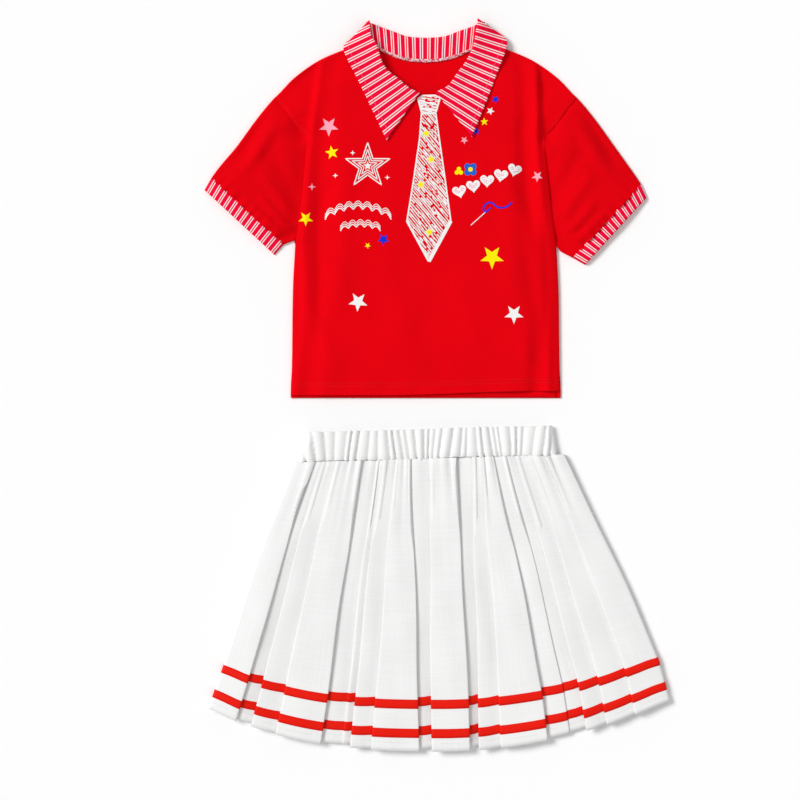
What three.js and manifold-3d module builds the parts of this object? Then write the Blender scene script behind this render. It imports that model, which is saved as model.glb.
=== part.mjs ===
// A girl's cheer uniform laid flat: a short-sleeved jersey top with a pointed striped collar, and a
// pleated skirt with an elastic waist and two ribbon stripes. Millimetres, +Z up, +Y towards the collar.
// The origin is under the middle of the whole set, on the surface that it lies on.

import * as THREE from "three";
import { mergeVertices } from "three/addons/utils/BufferGeometryUtils.js";
import Module from "manifold-3d";

const wasm = await Module();
wasm.setup();

// ---- Cloth ----
const jerseyPly = 1.0; // knitted red jersey
const shirtingPly = 0.8; // woven striped collar cloth
const cuffPly = 1.6; // the cuff is folded double
const pleatStack = 3.0; // a knife pleat lies three deep
const ribbonPly = 0.6;
const elasticPly = 1.2;
const waistPly = 1.5; // gathered waistband cloth
const printFilm = 0.4; // printed film on the chest
const plyGap = 0.3; // air between two plies that lie on each other

// ---- The top, measured from its front hem and its centre line ----
const hemHalf = 173.5;
const armpitHalf = 170;
const armpitY = 196;
const seamTop = [197, 390]; // where the armhole seam meets the shoulder
const shoulderLine = [[190.5, 396], [170, 417], [140, 438], [108, 452], [76, 462]];
const sleeveLine = [[213, 377], [235.5, 344], [258.5, 313]];
const cuffSeamTop = [278.5, 277];
const cuffSeamLow = [186.5, 188];
const cuffDepth = 17;
const backHemDrop = 4; // the back hem shows below the front hem
const hemTurn = 18;
const topPuff = 15; // height of the front and of the sleeves over the surface
const topRim = 14; // width of their rounded edges

// ---- The collar ----
const neckHalf = 76;
const collarTop = 491;
const frontNeck = [[neckHalf, collarTop], [72.5, 469], [66, 452], [58, 434], [48, 422], [35.5, 411], [22, 400.5]];
const frontNeckLow = 392;
const backNeck = [[62, 452], [43.5, 443.5], [23.8, 437.5]];
const backNeckLow = 435.5;
const backRoll = [[71.5, 487], [43.5, 476], [23.8, 469]];
const backRollLow = 467;
const leafShoulder = [[97.5, 467], [107.5, 452]];
const leafPoint = [55, 335];
const leafFront = [11.5, 394];
const fallDrop = 15; // the back fall covers the neck seam by this much
const tapeWidth = 4;

// ---- The skirt, measured from the top of its waistband and its centre line ----
const waistHalf = 168;
const waistSeamHalf = 174;
const waistShift = -8; // the waistband lies this far to one side of the hem's middle
const waistHeight = 42;
const elasticMargin = 3;
const skirtLength = 426;
const hemCornerHalf = 301;
const hemCornerY = -365;
const flare = 0.4; // how fast the sides spread towards the hem
const waistPuff = 16;
const skirtPuff = 16;
const skirtRim = 14;
const ribbonWidth = 9;
const ribbonRises = [28, 63.5]; // from the hem to the lower edge of each ribbon
const pleatCount = 17; // knife pleats across each side
const pleatStep = 1.5; // how far each pleat's edge stands over the next
const pleatSlope = 13;

// ---- The set ----
const garmentGap = 41;
const skirtOffset = 17; // between the centre lines of the two garments
const cuffReach = 288; // from the top's centre line to the tip of a cuff

const collarLift = topPuff + printFilm + 2 * plyGap; // the leaves lie on the prints
const above = 60; // taller than anything in the set
const far = 900; // wider than either garment

const red = new THREE.MeshStandardMaterial({ color: 0xd8000f, roughness: 0.85, metalness: 0 });
const striped = new THREE.MeshStandardMaterial({ color: 0xee6a80, roughness: 0.8, metalness: 0 });
const white = new THREE.MeshStandardMaterial({ color: 0xf4f3f2, roughness: 0.8, metalness: 0 });
const ribbonRed = new THREE.MeshStandardMaterial({ color: 0xea1800, roughness: 0.55, metalness: 0 });
const rubber = new THREE.MeshStandardMaterial({ color: 0xe8e6e0, roughness: 0.9, metalness: 0 });
const ink = {
  white: new THREE.MeshStandardMaterial({ color: 0xf7f4f2, roughness: 0.6, metalness: 0 }),
  yellow: new THREE.MeshStandardMaterial({ color: 0xffee00, roughness: 0.6, metalness: 0 }),
  pink: new THREE.MeshStandardMaterial({ color: 0xfba6ba, roughness: 0.6, metalness: 0 }),
  blue: new THREE.MeshStandardMaterial({ color: 0x1f3ae0, roughness: 0.6, metalness: 0 }),
};

// ---- Solids ----

function solidOf(geometry) {
  const plain = geometry.index ? geometry.toNonIndexed() : geometry;
  plain.deleteAttribute("normal");
  plain.deleteAttribute("uv");
  const merged = mergeVertices(plain, 1e-3);
  return new wasm.Manifold(
    new wasm.Mesh({
      numProp: 3,
      vertProperties: new Float32Array(merged.attributes.position.array),
      triVerts: new Uint32Array(merged.index.array),
    }),
  );
}

function meshOf(name, solid, material) {
  const made = solid.getMesh();
  const geometry = new THREE.BufferGeometry();
  geometry.setAttribute("position", new THREE.BufferAttribute(new Float32Array(made.vertProperties), 3));
  geometry.setIndex(new THREE.BufferAttribute(new Uint32Array(made.triVerts), 1));
  geometry.computeVertexNormals();
  const mesh = new THREE.Mesh(geometry, material);
  mesh.name = name;
  return mesh;
}

const shapeOf = (points) => new THREE.Shape(points.map(([x, y]) => new THREE.Vector2(x, y)));

// An outline as a straight-sided solid from one height to another.
function prism(points, low, high) {
  const geometry = new THREE.ExtrudeGeometry(shapeOf(points), { depth: high - low, bevelEnabled: false });
  return solidOf(geometry.translate(0, 0, low));
}

// A flat-bottomed pillow over an outline, with its upper edge rounded inwards by rim. Grown by grow all round.
function pillow(points, { low, high, rim }, grow) {
  const geometry = new THREE.ExtrudeGeometry(shapeOf(points), {
    depth: rim / 8,
    bevelThickness: high - low - rim / 8,
    bevelSize: rim,
    bevelOffset: grow - rim,
    bevelSegments: 4,
  });
  geometry.translate(0, 0, low + grow);
  const floor = prism(frameOf(points, 2 * rim), -above, low - grow);
  return solidOf(geometry).subtract(floor);
}

// The plies between two sizes of the same pillow.
const layer = (points, size, from, to) => pillow(points, size, to).subtract(pillow(points, size, from));

// A rectangle round an outline, wider by margin on each side.
function frameOf(points, margin) {
  const xs = points.map(([x]) => x);
  const ys = points.map(([, y]) => y);
  const [left, right] = [Math.min(...xs) - margin, Math.max(...xs) + margin];
  const [low, high] = [Math.min(...ys) - margin, Math.max(...ys) + margin];
  return [[left, low], [right, low], [right, high], [left, high]];
}

const mirrored = (points) => points.map(([x, y]) => [-x, y]).reverse();

// A right-hand half outline, bottom to top, closed by its mirror image.
const bothHalves = (half) => [...half, ...mirrored(half)];

function moved([x, y], [dx, dy], distance) {
  return [x + dx * distance, y + dy * distance];
}

function unitFrom([ax, ay], [bx, by]) {
  const length = Math.hypot(bx - ax, by - ay);
  return [(bx - ax) / length, (by - ay) / length];
}

// ---- Outlines of the top ----

const beyond = 40; // how far an outline runs past a cut edge
const topSize = { low: 0, high: topPuff, rim: topRim };
const alongCuff = unitFrom(cuffSeamLow, cuffSeamTop);
const outOfCuff = [alongCuff[1], -alongCuff[0]];
const topHalf = [
  [hemHalf, -beyond],
  [hemHalf, 0],
  [armpitHalf, armpitY],
  cuffSeamLow,
  moved(cuffSeamLow, outOfCuff, beyond),
  moved(cuffSeamTop, outOfCuff, beyond),
  cuffSeamTop,
  ...[...sleeveLine].reverse(),
  seamTop,
  ...shoulderLine,
];
const topOutline = bothHalves(topHalf);

// A quadrilateral from one line outwards, along a direction.
function bandFrom(start, end, direction, from, to, run) {
  const along = unitFrom(start, end);
  const [a, b] = [moved(start, along, -run), moved(end, along, run)];
  return [
    moved(a, direction, from),
    moved(a, direction, to),
    moved(b, direction, to),
    moved(b, direction, from),
  ];
}

const armholeLine = [[armpitHalf, armpitY], seamTop];
const alongArmhole = unitFrom(...armholeLine);
const outOfArmhole = [alongArmhole[1], -alongArmhole[0]];

const isClockwise = (points) => THREE.ShapeUtils.isClockWise(points.map(([x, y]) => new THREE.Vector2(x, y)));
const ordered = (points) => (isClockwise(points) ? [...points].reverse() : points);
const region = (points) => prism(ordered(points), -above, above);

function belowLine(y) {
  return region([[-far, y - far], [far, y - far], [far, y], [-far, y]]);
}

function aboveLine(y) {
  return region([[-far, y], [far, y], [far, y + far], [-far, y + far]]);
}

function heightsBetween(low, high) {
  return prism([[-far, -far], [far, -far], [far, far], [-far, far]], low, high);
}

// ---- The top ----

const betweenArmholes = region(bothHalves([
  [hemHalf + beyond, -2 * beyond],
  [hemHalf + 2, armpitY / 2],
  armholeLine[0],
  armholeLine[1],
  moved(armholeLine[1], alongArmhole, 3 * beyond),
]));
const outsideArmhole = region([
  moved(armholeLine[0], outOfArmhole, plyGap),
  [armpitHalf + beyond / 10, armpitY - beyond],
  [far, armpitY - beyond],
  [far, seamTop[1] + beyond],
  moved(moved(armholeLine[1], alongArmhole, beyond), outOfArmhole, plyGap),
]);

const neckTop = collarTop + beyond;
const frontNeckHole = region(bothHalves([[0, frontNeckLow], ...[...frontNeck].reverse(), [neckHalf, neckTop]]).slice(0, -1));
const backNeckHole = region(
  bothHalves([[0, backNeckLow], ...[...backNeck].reverse(), [backRoll[0][0] + 4, backRoll[0][1]], [neckHalf, neckTop]])
    .slice(0, -1),
);

const backLift = shirtingPly + plyGap; // the back panel passes over the back fall

// The fall of the collar lies under the back panel, from its roll down over the neck seam.
function fallOutline(margin) {
  const low = backNeckLow - fallDrop - margin;
  const [outer, shoulder] = leafShoulder.map(([x, y]) => [x + margin, y]);
  const half = [
    [shoulder[0] / 2, low + 6],
    [shoulder[0] - 6, shoulder[1] - margin],
    [outer[0], outer[1] + margin],
    ...backRoll.map(([x, y]) => [x, y + margin]),
    [0, backRollLow + margin],
  ];
  return [[0, low], ...half, ...mirrored(half).slice(1)];
}

function frontPanel() {
  return layer(topOutline, topSize, -jerseyPly, 0)
    .intersect(betweenArmholes)
    .intersect(heightsBetween(jerseyPly + plyGap, above))
    .subtract(prism(ordered(fallOutline(2 + plyGap)), -above, backLift + jerseyPly + plyGap))
    .subtract(belowLine(0))
    .subtract(frontNeckHole);
}

function backPanel() {
  const flat = heightsBetween(0, jerseyPly).subtract(region(fallOutline(1)));
  const raised = heightsBetween(backLift, backLift + jerseyPly).intersect(region(fallOutline(2)));
  const riser = heightsBetween(0, backLift + jerseyPly)
    .intersect(region(fallOutline(2)).subtract(region(fallOutline(1))));
  return flat
    .add(raised)
    .add(riser)
    .intersect(region(topOutline))
    .intersect(betweenArmholes)
    .subtract(belowLine(-backHemDrop))
    .subtract(backNeckHole);
}

// The hem allowance, turned up inside the front or the back.
function frontHem() {
  const inner = -jerseyPly - plyGap;
  return layer(topOutline, topSize, inner - jerseyPly, inner)
    .intersect(betweenArmholes)
    .intersect(heightsBetween(2 * jerseyPly + 2 * plyGap, above))
    .subtract(belowLine(plyGap))
    .subtract(aboveLine(hemTurn));
}

function backHem() {
  const half = hemHalf - 3 * jerseyPly;
  const [low, high] = [-backHemDrop + plyGap, -backHemDrop + hemTurn];
  return prism([[-half, low], [half, low], [half, high], [-half, high]], jerseyPly + plyGap, 2 * jerseyPly + plyGap);
}

function sleeve() {
  return layer(topOutline, topSize, -jerseyPly, 0)
    .intersect(outsideArmhole)
    .subtract(region(bandFrom(cuffSeamLow, cuffSeamTop, outOfCuff, 0, 3 * beyond, 2)));
}

function cuff() {
  return layer(topOutline, topSize, -cuffPly, 0)
    .intersect(region(bandFrom(cuffSeamLow, cuffSeamTop, outOfCuff, plyGap, cuffDepth, 2)));
}

// ---- The collar ----

const leafOutline = [leafPoint, ...[...leafShoulder].reverse(), ...frontNeck, leafFront];

function leafPly(level) {
  const low = collarLift + level * (shirtingPly + plyGap);
  return prism(ordered(leafOutline), low, low + shirtingPly);
}

const standBase = shirtingPly + plyGap;

// A strip along the back of the neck, between two rows of points that run from its middle to its end.
function backStrip(low, high, base) {
  const outline = [...mirrored(low), ...low.slice(1), ...[...high].reverse(), ...mirrored([...high].reverse()).slice(1)];
  return prism(ordered(outline), base, base + shirtingPly);
}

const neckRow = (rise) => [[0, backNeckLow + rise], ...[...backNeck].reverse().map(([x, y]) => [x, y + rise])];
const rollRow = [[0, backRollLow], ...[...backRoll].reverse()];

// The inner side of the collar at the back of the neck, and the strip that covers its seam.
const backStand = () => backStrip(neckRow(plyGap), rollRow, standBase);
const neckTape = () => backStrip(neckRow(-tapeWidth / 2), neckRow(tapeWidth / 2), standBase + jerseyPly + plyGap);
const backFall = () => prism(ordered(fallOutline(0)), 0, shirtingPly);

// Where the collar turns from the back of the neck up to the front, beside the neck.
function standSide() {
  const edge = frontNeck.slice(0, 4);
  const inner = edge.map(([x, y]) => [x - 2 * shirtingPly, y]);
  const outline = [...edge, ...[...inner].reverse()];
  const base = standBase + jerseyPly + 2 * plyGap + shirtingPly;
  return prism(ordered(outline), base, topPuff + plyGap);
}

// ---- The skirt ----

const hemArcDrop = skirtLength + hemCornerY;

// The hem's arc at a distance inside the edge, from corner to corner.
function hemArc(rise) {
  const steps = 16;
  return Array.from({ length: steps + 1 }, (_, i) => {
    const x = hemCornerHalf * (1 - (2 * i) / steps) * (1 - rise / 1200);
    const share = x / hemCornerHalf;
    return [x, hemCornerY + rise - hemArcDrop * (1 - share * share)];
  });
}

const skirtSize = { low: ribbonPly + plyGap, high: skirtPuff, rim: skirtRim };
const waistSize = { low: 0, high: waistPuff, rim: skirtRim };
const skirtOutline = [
  [-waistSeamHalf + waistShift, -waistHeight],
  [-waistSeamHalf + waistShift - 19, -waistHeight - 51],
  ...[...hemArc(0)].reverse().map(([x, y]) => [x * (1 + (flare * beyond) / hemCornerHalf), y - beyond]),
  [waistSeamHalf + waistShift + 30, -waistHeight - 51],
  [waistSeamHalf + waistShift + 9, -waistHeight - 12],
  [waistSeamHalf + waistShift, -waistHeight],
  [waistHalf + waistShift, beyond],
  [-waistHalf + waistShift, beyond],
];
const waistOutline = [
  [-waistSeamHalf + waistShift - 2, -waistHeight - beyond],
  [waistSeamHalf + waistShift + 2, -waistHeight - beyond],
  [waistHalf + waistShift, beyond],
  [-waistHalf + waistShift, beyond],
];

const seamSplit = skirtSize.low + pleatStack;
const skirtFront = heightsBetween(seamSplit + plyGap, above);
const skirtBack = heightsBetween(-above, seamSplit);

// Everything between two arcs that run along the hem.
function hemBand(low, high) {
  const [outer, inner] = [hemArc(low), hemArc(high)];
  const spread = (points) => [[far, points[0][1] + 60], ...points, [-far, points[points.length - 1][1] + 60]];
  return region([...spread(outer), ...spread(inner).reverse()]);
}

// The slopes between the pleats on the front: each falls from one pleat's face to under the next one's edge.
function pleatWedges() {
  const share = (i) => (i + 1) / (pleatCount + 1) - 0.5;
  const cuts = Array.from({ length: pleatCount }, (_, i) => {
    const [topX, lowX] = [waistShift + 2 * waistSeamHalf * share(i), 2 * hemCornerHalf * share(i)];
    const run = skirtLength - waistHeight;
    const length = Math.hypot(run, lowX - topX) + 2 * beyond;
    const profile = shapeOf([[0, -pleatStep], [0, beyond], [-pleatSlope, beyond], [-pleatSlope, 0]]);
    const wedge = new THREE.ExtrudeGeometry(profile, { depth: length, bevelEnabled: false });
    wedge.translate(0, 0, -beyond).rotateX(Math.PI / 2).rotateZ(Math.atan2(lowX - topX, run));
    return solidOf(wedge.translate(topX, -waistHeight, skirtPuff));
  });
  return cuts.reduce((sum, cut) => sum.add(cut));
}

function pleatedPanel(half, wedges) {
  return layer(skirtOutline, skirtSize, -pleatStack, 0)
    .intersect(half)
    .intersect(hemBand(0, far))
    .subtract(aboveLine(-waistHeight - plyGap))
    .subtract(wedges);
}

function ribbon(rise, half) {
  return layer(skirtOutline, skirtSize, plyGap, plyGap + ribbonPly)
    .intersect(half)
    .intersect(hemBand(rise, rise + ribbonWidth));
}

// One ply of the waistband, between two heights.
function waistRing(from, to, low, high) {
  return layer(waistOutline, waistSize, from, to)
    .subtract(belowLine(low))
    .subtract(aboveLine(high));
}

// ---- Prints on the chest, measured from the top's centre line and front hem ----

const prints = [
  { name: "star_print_pink_shoulder", at: [-126, 352], radius: 13, turn: 180, ink: "pink" },
  { name: "star_print_yellow_shoulder", at: [-122, 318], radius: 9.2, turn: 10, ink: "yellow" },
  { name: "star_print_yellow_side", at: [-156, 232], radius: 10, turn: 180, ink: "yellow" },
  { name: "star_print_blue_left", at: [-55, 205], radius: 8.3, turn: 176, ink: "blue" },
  { name: "star_print_yellow_tiny", at: [-75.5, 197], radius: 4.2, turn: 184, ink: "yellow" },
  { name: "star_print_white_left", at: [-88, 124], radius: 13, turn: 176, ink: "white" },
  { name: "star_print_yellow_large", at: [86, 182], radius: 16, turn: 180, ink: "yellow" },
  { name: "star_print_white_right", at: [114.5, 108], radius: 13, turn: 180, ink: "white" },
  { name: "star_print_blue_upper", at: [90.5, 387], radius: 5.5, turn: 186, ink: "blue" },
  { name: "star_print_white_upper", at: [84, 372], radius: 5.5, turn: 190, ink: "white" },
  { name: "star_print_yellow_upper", at: [76, 358], radius: 5.5, turn: 4, ink: "yellow" },
  { name: "star_print_blue_lower", at: [65.5, 345.5], radius: 5.3, turn: 4, ink: "blue" },
  { name: "star_print_pink_tip", at: [50, 334], radius: 5.3, turn: 184, ink: "pink" },
  { name: "star_print_pink_side", at: [145, 287], radius: 7.5, turn: 176, ink: "pink" },
  { name: "sparkle_print_upper", at: [-95, 317.5], radius: 3.4, points: 4, turn: 0, ink: "white" },
  { name: "sparkle_print_left", at: [-117.5, 288], radius: 3.4, points: 4, turn: 0, ink: "white" },
  { name: "sparkle_print_right", at: [-50, 285.5], radius: 3.4, points: 4, turn: 0, ink: "white" },
  { name: "sparkle_print_pink", at: [-148, 273.5], radius: 5, points: 4, turn: 0, ink: "pink" },
  { name: "outlined_star_print", at: [-75.5, 297], radius: 31, turn: 0, ink: "white" },
  { name: "tie_star_print_1", at: [0.5, 342], radius: 4.4, turn: 8, ink: "yellow", level: 1 },
  { name: "tie_star_print_2", at: [7, 308], radius: 4.4, turn: 8, ink: "yellow", level: 1 },
  { name: "tie_star_print_3", at: [-6.5, 274], radius: 4.4, turn: 8, ink: "yellow", level: 1 },
  { name: "tie_star_print_4", at: [5.5, 213], radius: 4.4, turn: 8, ink: "yellow", level: 1 },
];

// One film of ink over the whole top, at a level: the tie's own stars lie on the tie.
const film = [0, 1].map((level) => {
  const base = plyGap + level * (printFilm + plyGap);
  return layer(topOutline, topSize, base, base + printFilm).intersect(heightsBetween(topPuff / 3, above));
});

function starPrint({ at: [cx, cy], radius, points = 5, turn, level = 0 }) {
  const waist = points === 4 ? 0.36 : 0.42;
  const outline = Array.from({ length: 2 * points }, (_, i) => {
    const angle = (Math.PI * i) / points + Math.PI / 2 + THREE.MathUtils.degToRad(turn);
    const reach = i % 2 ? radius * waist : radius;
    return [cx + reach * Math.cos(angle), cy + reach * Math.sin(angle)];
  });
  return film[level].intersect(region(outline));
}

const tieCentre = 4;
const tieKnot = [[-14, 388], [-8, 392], [8, 392.5], [14.5, 389], [9, 370], [-9.5, 370]];
const tieBlade = [[9, 369], [13.5, 336], [19.5, 294], [28.5, 229], [0, 176.5], [-28.5, 229], [-20.5, 278],
  [-12, 336], [-9.5, 369]];

const tiePiece = (outline) => film[0].intersect(region(outline.map(([x, y]) => [x + tieCentre, y])));

// Five hearts in a rising row.
const heartRow = { start: [44, 266], step: [17.5, 7], radius: 8.5, count: 5 };

function heartPrint(i) {
  const { start, step, radius } = heartRow;
  const steps = 24;
  const outline = Array.from({ length: steps }, (_, k) => {
    const t = (2 * Math.PI * k) / steps;
    const x = Math.sin(t) ** 3;
    const y = (13 * Math.cos(t) - 5 * Math.cos(2 * t) - 2 * Math.cos(3 * t) - Math.cos(4 * t)) / 16;
    return [start[0] + i * step[0] + radius * x, start[1] + i * step[1] + radius * y];
  });
  return film[0].intersect(region(outline));
}

function flowerPrint([cx, cy], radius, petals) {
  const steps = 6 * petals;
  const outline = Array.from({ length: steps }, (_, k) => {
    const t = (2 * Math.PI * k) / steps;
    const reach = radius * (0.78 + 0.22 * Math.cos(petals * t));
    return [cx + reach * Math.cos(t), cy + reach * Math.sin(t)];
  });
  return film[0].intersect(region(outline));
}

// ---- Assembly ----

const skirtCentre = (skirtOffset + cuffReach - hemCornerHalf) / 2;
const setLength = collarTop + garmentGap + skirtLength;

const top = new THREE.Group();
top.position.set(skirtCentre - skirtOffset, setLength / 2 - collarTop, 0);
top.add(
  meshOf("shirt_front", frontPanel(), red),
  meshOf("shirt_back", backPanel(), red),
  meshOf("shirt_front_hem", frontHem(), red),
  meshOf("shirt_back_hem", backHem(), red),
  meshOf("collar_back_stand", backStand(), striped),
  meshOf("collar_back_fall", backFall(), striped),
  meshOf("neck_tape", neckTape(), white),
);

const rightSleeve = sleeve();
const rightCuff = cuff();
const rightSide = standSide();
const rightLeaf = [leafPly(1), leafPly(0)];
for (const [side, direction] of [["left", -1], ["right", 1]]) {
  const placed = (solid) => (direction < 0 ? solid.mirror([1, 0, 0]) : solid);
  top.add(
    meshOf(`sleeve_${side}`, placed(rightSleeve), red),
    meshOf(`cuff_${side}`, placed(rightCuff), striped),
    meshOf(`collar_side_${side}`, placed(rightSide), striped),
    meshOf(`collar_leaf_${side}_upper`, placed(rightLeaf[0]), striped),
    meshOf(`collar_leaf_${side}_under`, placed(rightLeaf[1]), striped),
  );
}

for (const print of prints) top.add(meshOf(print.name, starPrint(print), ink[print.ink]));
top.add(
  meshOf("tie_knot_print", tiePiece(tieKnot), ink.white),
  meshOf("tie_blade_print", tiePiece(tieBlade), ink.white),
  meshOf("flower_print_yellow", flowerPrint([43, 293.5], 6, 3), ink.yellow),
  meshOf("flower_print_blue", flowerPrint([58, 296], 9.5, 4), ink.blue),
);
for (let i = 0; i < heartRow.count; i++) top.add(meshOf(`heart_print_${i + 1}`, heartPrint(i), ink.white));

const noWedges = heightsBetween(-2 * above, -above);
const skirt = new THREE.Group();
skirt.position.set(skirtCentre, setLength / 2 - collarTop - garmentGap, 0);
const facing = [-waistPly - 2 * plyGap - elasticPly - waistPly, -waistPly - 2 * plyGap - elasticPly];
const elastic = [-waistPly - plyGap - elasticPly, -waistPly - plyGap];
skirt.add(
  meshOf("waistband_outer", waistRing(-waistPly, 0, -waistHeight, 0), white),
  meshOf("waistband_elastic", waistRing(...elastic, -waistHeight + elasticMargin, -elasticMargin), rubber),
  meshOf("waistband_facing", waistRing(...facing, -waistHeight, -plyGap), white),
);
for (const [side, half, wedges] of [["front", skirtFront, pleatWedges()], ["back", skirtBack, noWedges]]) {
  skirt.add(
    meshOf(`skirt_${side}`, pleatedPanel(half, wedges), white),
    meshOf(`ribbon_lower_${side}`, ribbon(ribbonRises[0], half), ribbonRed),
    meshOf(`ribbon_upper_${side}`, ribbon(ribbonRises[1], half), ribbonRed),
  );
}

const uniform = new THREE.Group();
uniform.add(top, skirt);

export default uniform;
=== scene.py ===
import math
import random

import bmesh
import bpy
import numpy as np
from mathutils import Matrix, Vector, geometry


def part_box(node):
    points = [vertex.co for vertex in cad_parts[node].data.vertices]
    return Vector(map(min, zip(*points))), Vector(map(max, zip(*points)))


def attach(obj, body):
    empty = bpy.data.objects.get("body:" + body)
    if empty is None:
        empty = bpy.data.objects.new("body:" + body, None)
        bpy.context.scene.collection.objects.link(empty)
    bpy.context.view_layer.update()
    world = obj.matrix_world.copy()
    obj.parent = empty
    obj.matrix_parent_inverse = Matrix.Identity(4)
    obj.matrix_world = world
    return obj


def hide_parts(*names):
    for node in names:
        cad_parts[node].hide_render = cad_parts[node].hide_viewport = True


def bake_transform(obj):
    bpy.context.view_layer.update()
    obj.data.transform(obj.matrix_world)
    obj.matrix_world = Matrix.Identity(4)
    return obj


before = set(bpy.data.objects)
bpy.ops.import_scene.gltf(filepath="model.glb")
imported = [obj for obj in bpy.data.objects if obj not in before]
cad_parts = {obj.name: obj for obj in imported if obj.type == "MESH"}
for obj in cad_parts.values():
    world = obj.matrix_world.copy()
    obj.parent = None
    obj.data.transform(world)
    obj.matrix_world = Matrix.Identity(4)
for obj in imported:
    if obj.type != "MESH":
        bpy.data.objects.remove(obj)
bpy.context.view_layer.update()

bl_info = {
    "name": "Cheer uniform",
    "version": (1, 0, 0),
    "blender": (4, 5, 0),
    "location": "3D View > Sidebar > Uniform",
    "description": "Jersey top with a striped collar, and a pleated skirt, laid out flat",
    "category": "Object",
}

# All lengths are in millimetres until a mesh is made, and both garments lie on z = 0.
# The top is drawn from the middle of its front hem, and the skirt from its waistband's top edge.
MM = 0.001


def box_mm(node):
    """Lowest and highest corners of a CAD node, in millimetres."""
    low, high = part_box(node)
    return [v / MM for v in low], [v / MM for v in high]


SHIRT_LOW, SHIRT_HIGH = box_mm("shirt_front")
BAND_LOW, BAND_HIGH = box_mm("waistband_outer")
TOP_AT = ((SHIRT_LOW[0] + SHIRT_HIGH[0]) / 2, SHIRT_LOW[1])
BAND_SHIFT = -8
SKIRT_AT = ((BAND_LOW[0] + BAND_HIGH[0]) / 2 - BAND_SHIFT, BAND_HIGH[1])

# The top's seams and edges, drawn for the right-hand half.
HEM_HALF = 174.5
SIDE = [(HEM_HALF, 0), (174, 60), (173, 140), (170, 198)]
SIDE_FOLD = [(170, 198), (163, 250), (158, 298), (155, 336)]
ARMHOLE = [(155, 336), (157, 340), (170, 355), (183, 373), (197, 390)]
SHOULDER = [(197, 390), (190.5, 396), (170, 417), (140, 438), (108, 452), (77, 462)]
FRONT_NECK = [(77, 462), (69.5, 452), (61, 434), (51, 422), (38, 410), (24, 399.5), (12, 394), (0, 392.5)]
BACK_NECK = [(77, 462), (62, 453), (43.5, 445), (23.8, 439), (0, 437)]
SLEEVE_TOP = [(197, 390), (208, 377.5), (222.9, 358.5), (240.9, 333.5), (260.8, 304), (278.5, 277)]
CUFF_SEAM = [(278.5, 277), (186.5, 188)]
UNDERARM = [(186.5, 188), (170, 196)]
SLEEVE_TUCK = [(170, 196), (159, 214), (152, 250), (147, 300), (148, 326), (153, 343.5), (166, 358.5),
               (179, 376.5), (192, 393)]
CUFF_DEPTH = 16.5
BACK_HEM_DROP = 1
HEM_TURN = 18
HEM_RISE = 2.5
HEM_TILT = 5.5

# Where each cuff's seam really ends, outer end first, and the way the cuff's two ends lean from there.
CUFF_ENDS = {"left": [(279.5, 285), (185.5, 198.5)], "right": [(281, 276.5), (192.6, 181)]}
CUFF_LEAN = {"left": [(0.5, -0.87), (0.65, -0.76)], "right": [(0.42, -0.91), (0.87, -0.5)]}

# The soft crease inside each side fold, which runs up over the armhole seam to the shoulder.
CREASE = [(163, 0), (162, 60), (161, 140), (160, 200), (154, 260), (149, 310), (147, 345), (145, 372),
          (141, 421), (137, 445)]

# The collar: its roll line, the leaf's outer edge and point, and the band at the back of the neck.
ROLL = {
    "left": [(74, 489), (72, 470), (64.5, 457), (57.5, 435), (49, 423), (35, 412), (22, 401), (9, 394)],
    "right": [(68.5, 491), (66.5, 476), (63, 457), (54, 437), (43, 422), (31, 405), (22, 399.5),
              (13.5, 395)],
}
LEAF_EDGE = {
    "left": [(97, 467), (107, 452.5), (88, 412), (69, 372), (51, 334)],
    "right": [(101.5, 470), (106, 458), (91, 416), (76.5, 378), (60, 338)],
}
BAND_FOOT = [(72, 459.5), (62, 453.5), (43.5, 445), (23.8, 439), (0, 437)]
BAND_ROLL = [(77, 488), (70, 486), (58, 481), (43.5, 476), (23.8, 469), (0, 467)]
FALL_DROP = 15
LEAF_HINGE = [(76, 491), (11.5, 394)]

# The skirt: half widths, the side edges and the folds, which run from the waist seam to the hem.
BAND_HEIGHT = 38
BAND_TOP_HALF = 160
SEAM_HALF = 170
BAND_SLOPE = 0.029
RIBBON_DROP = 358
HEM_DROP = 419.5
LOW_RIBBON_DROP = 396


# ---------------------------------------------------------------- settings a user may change

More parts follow.
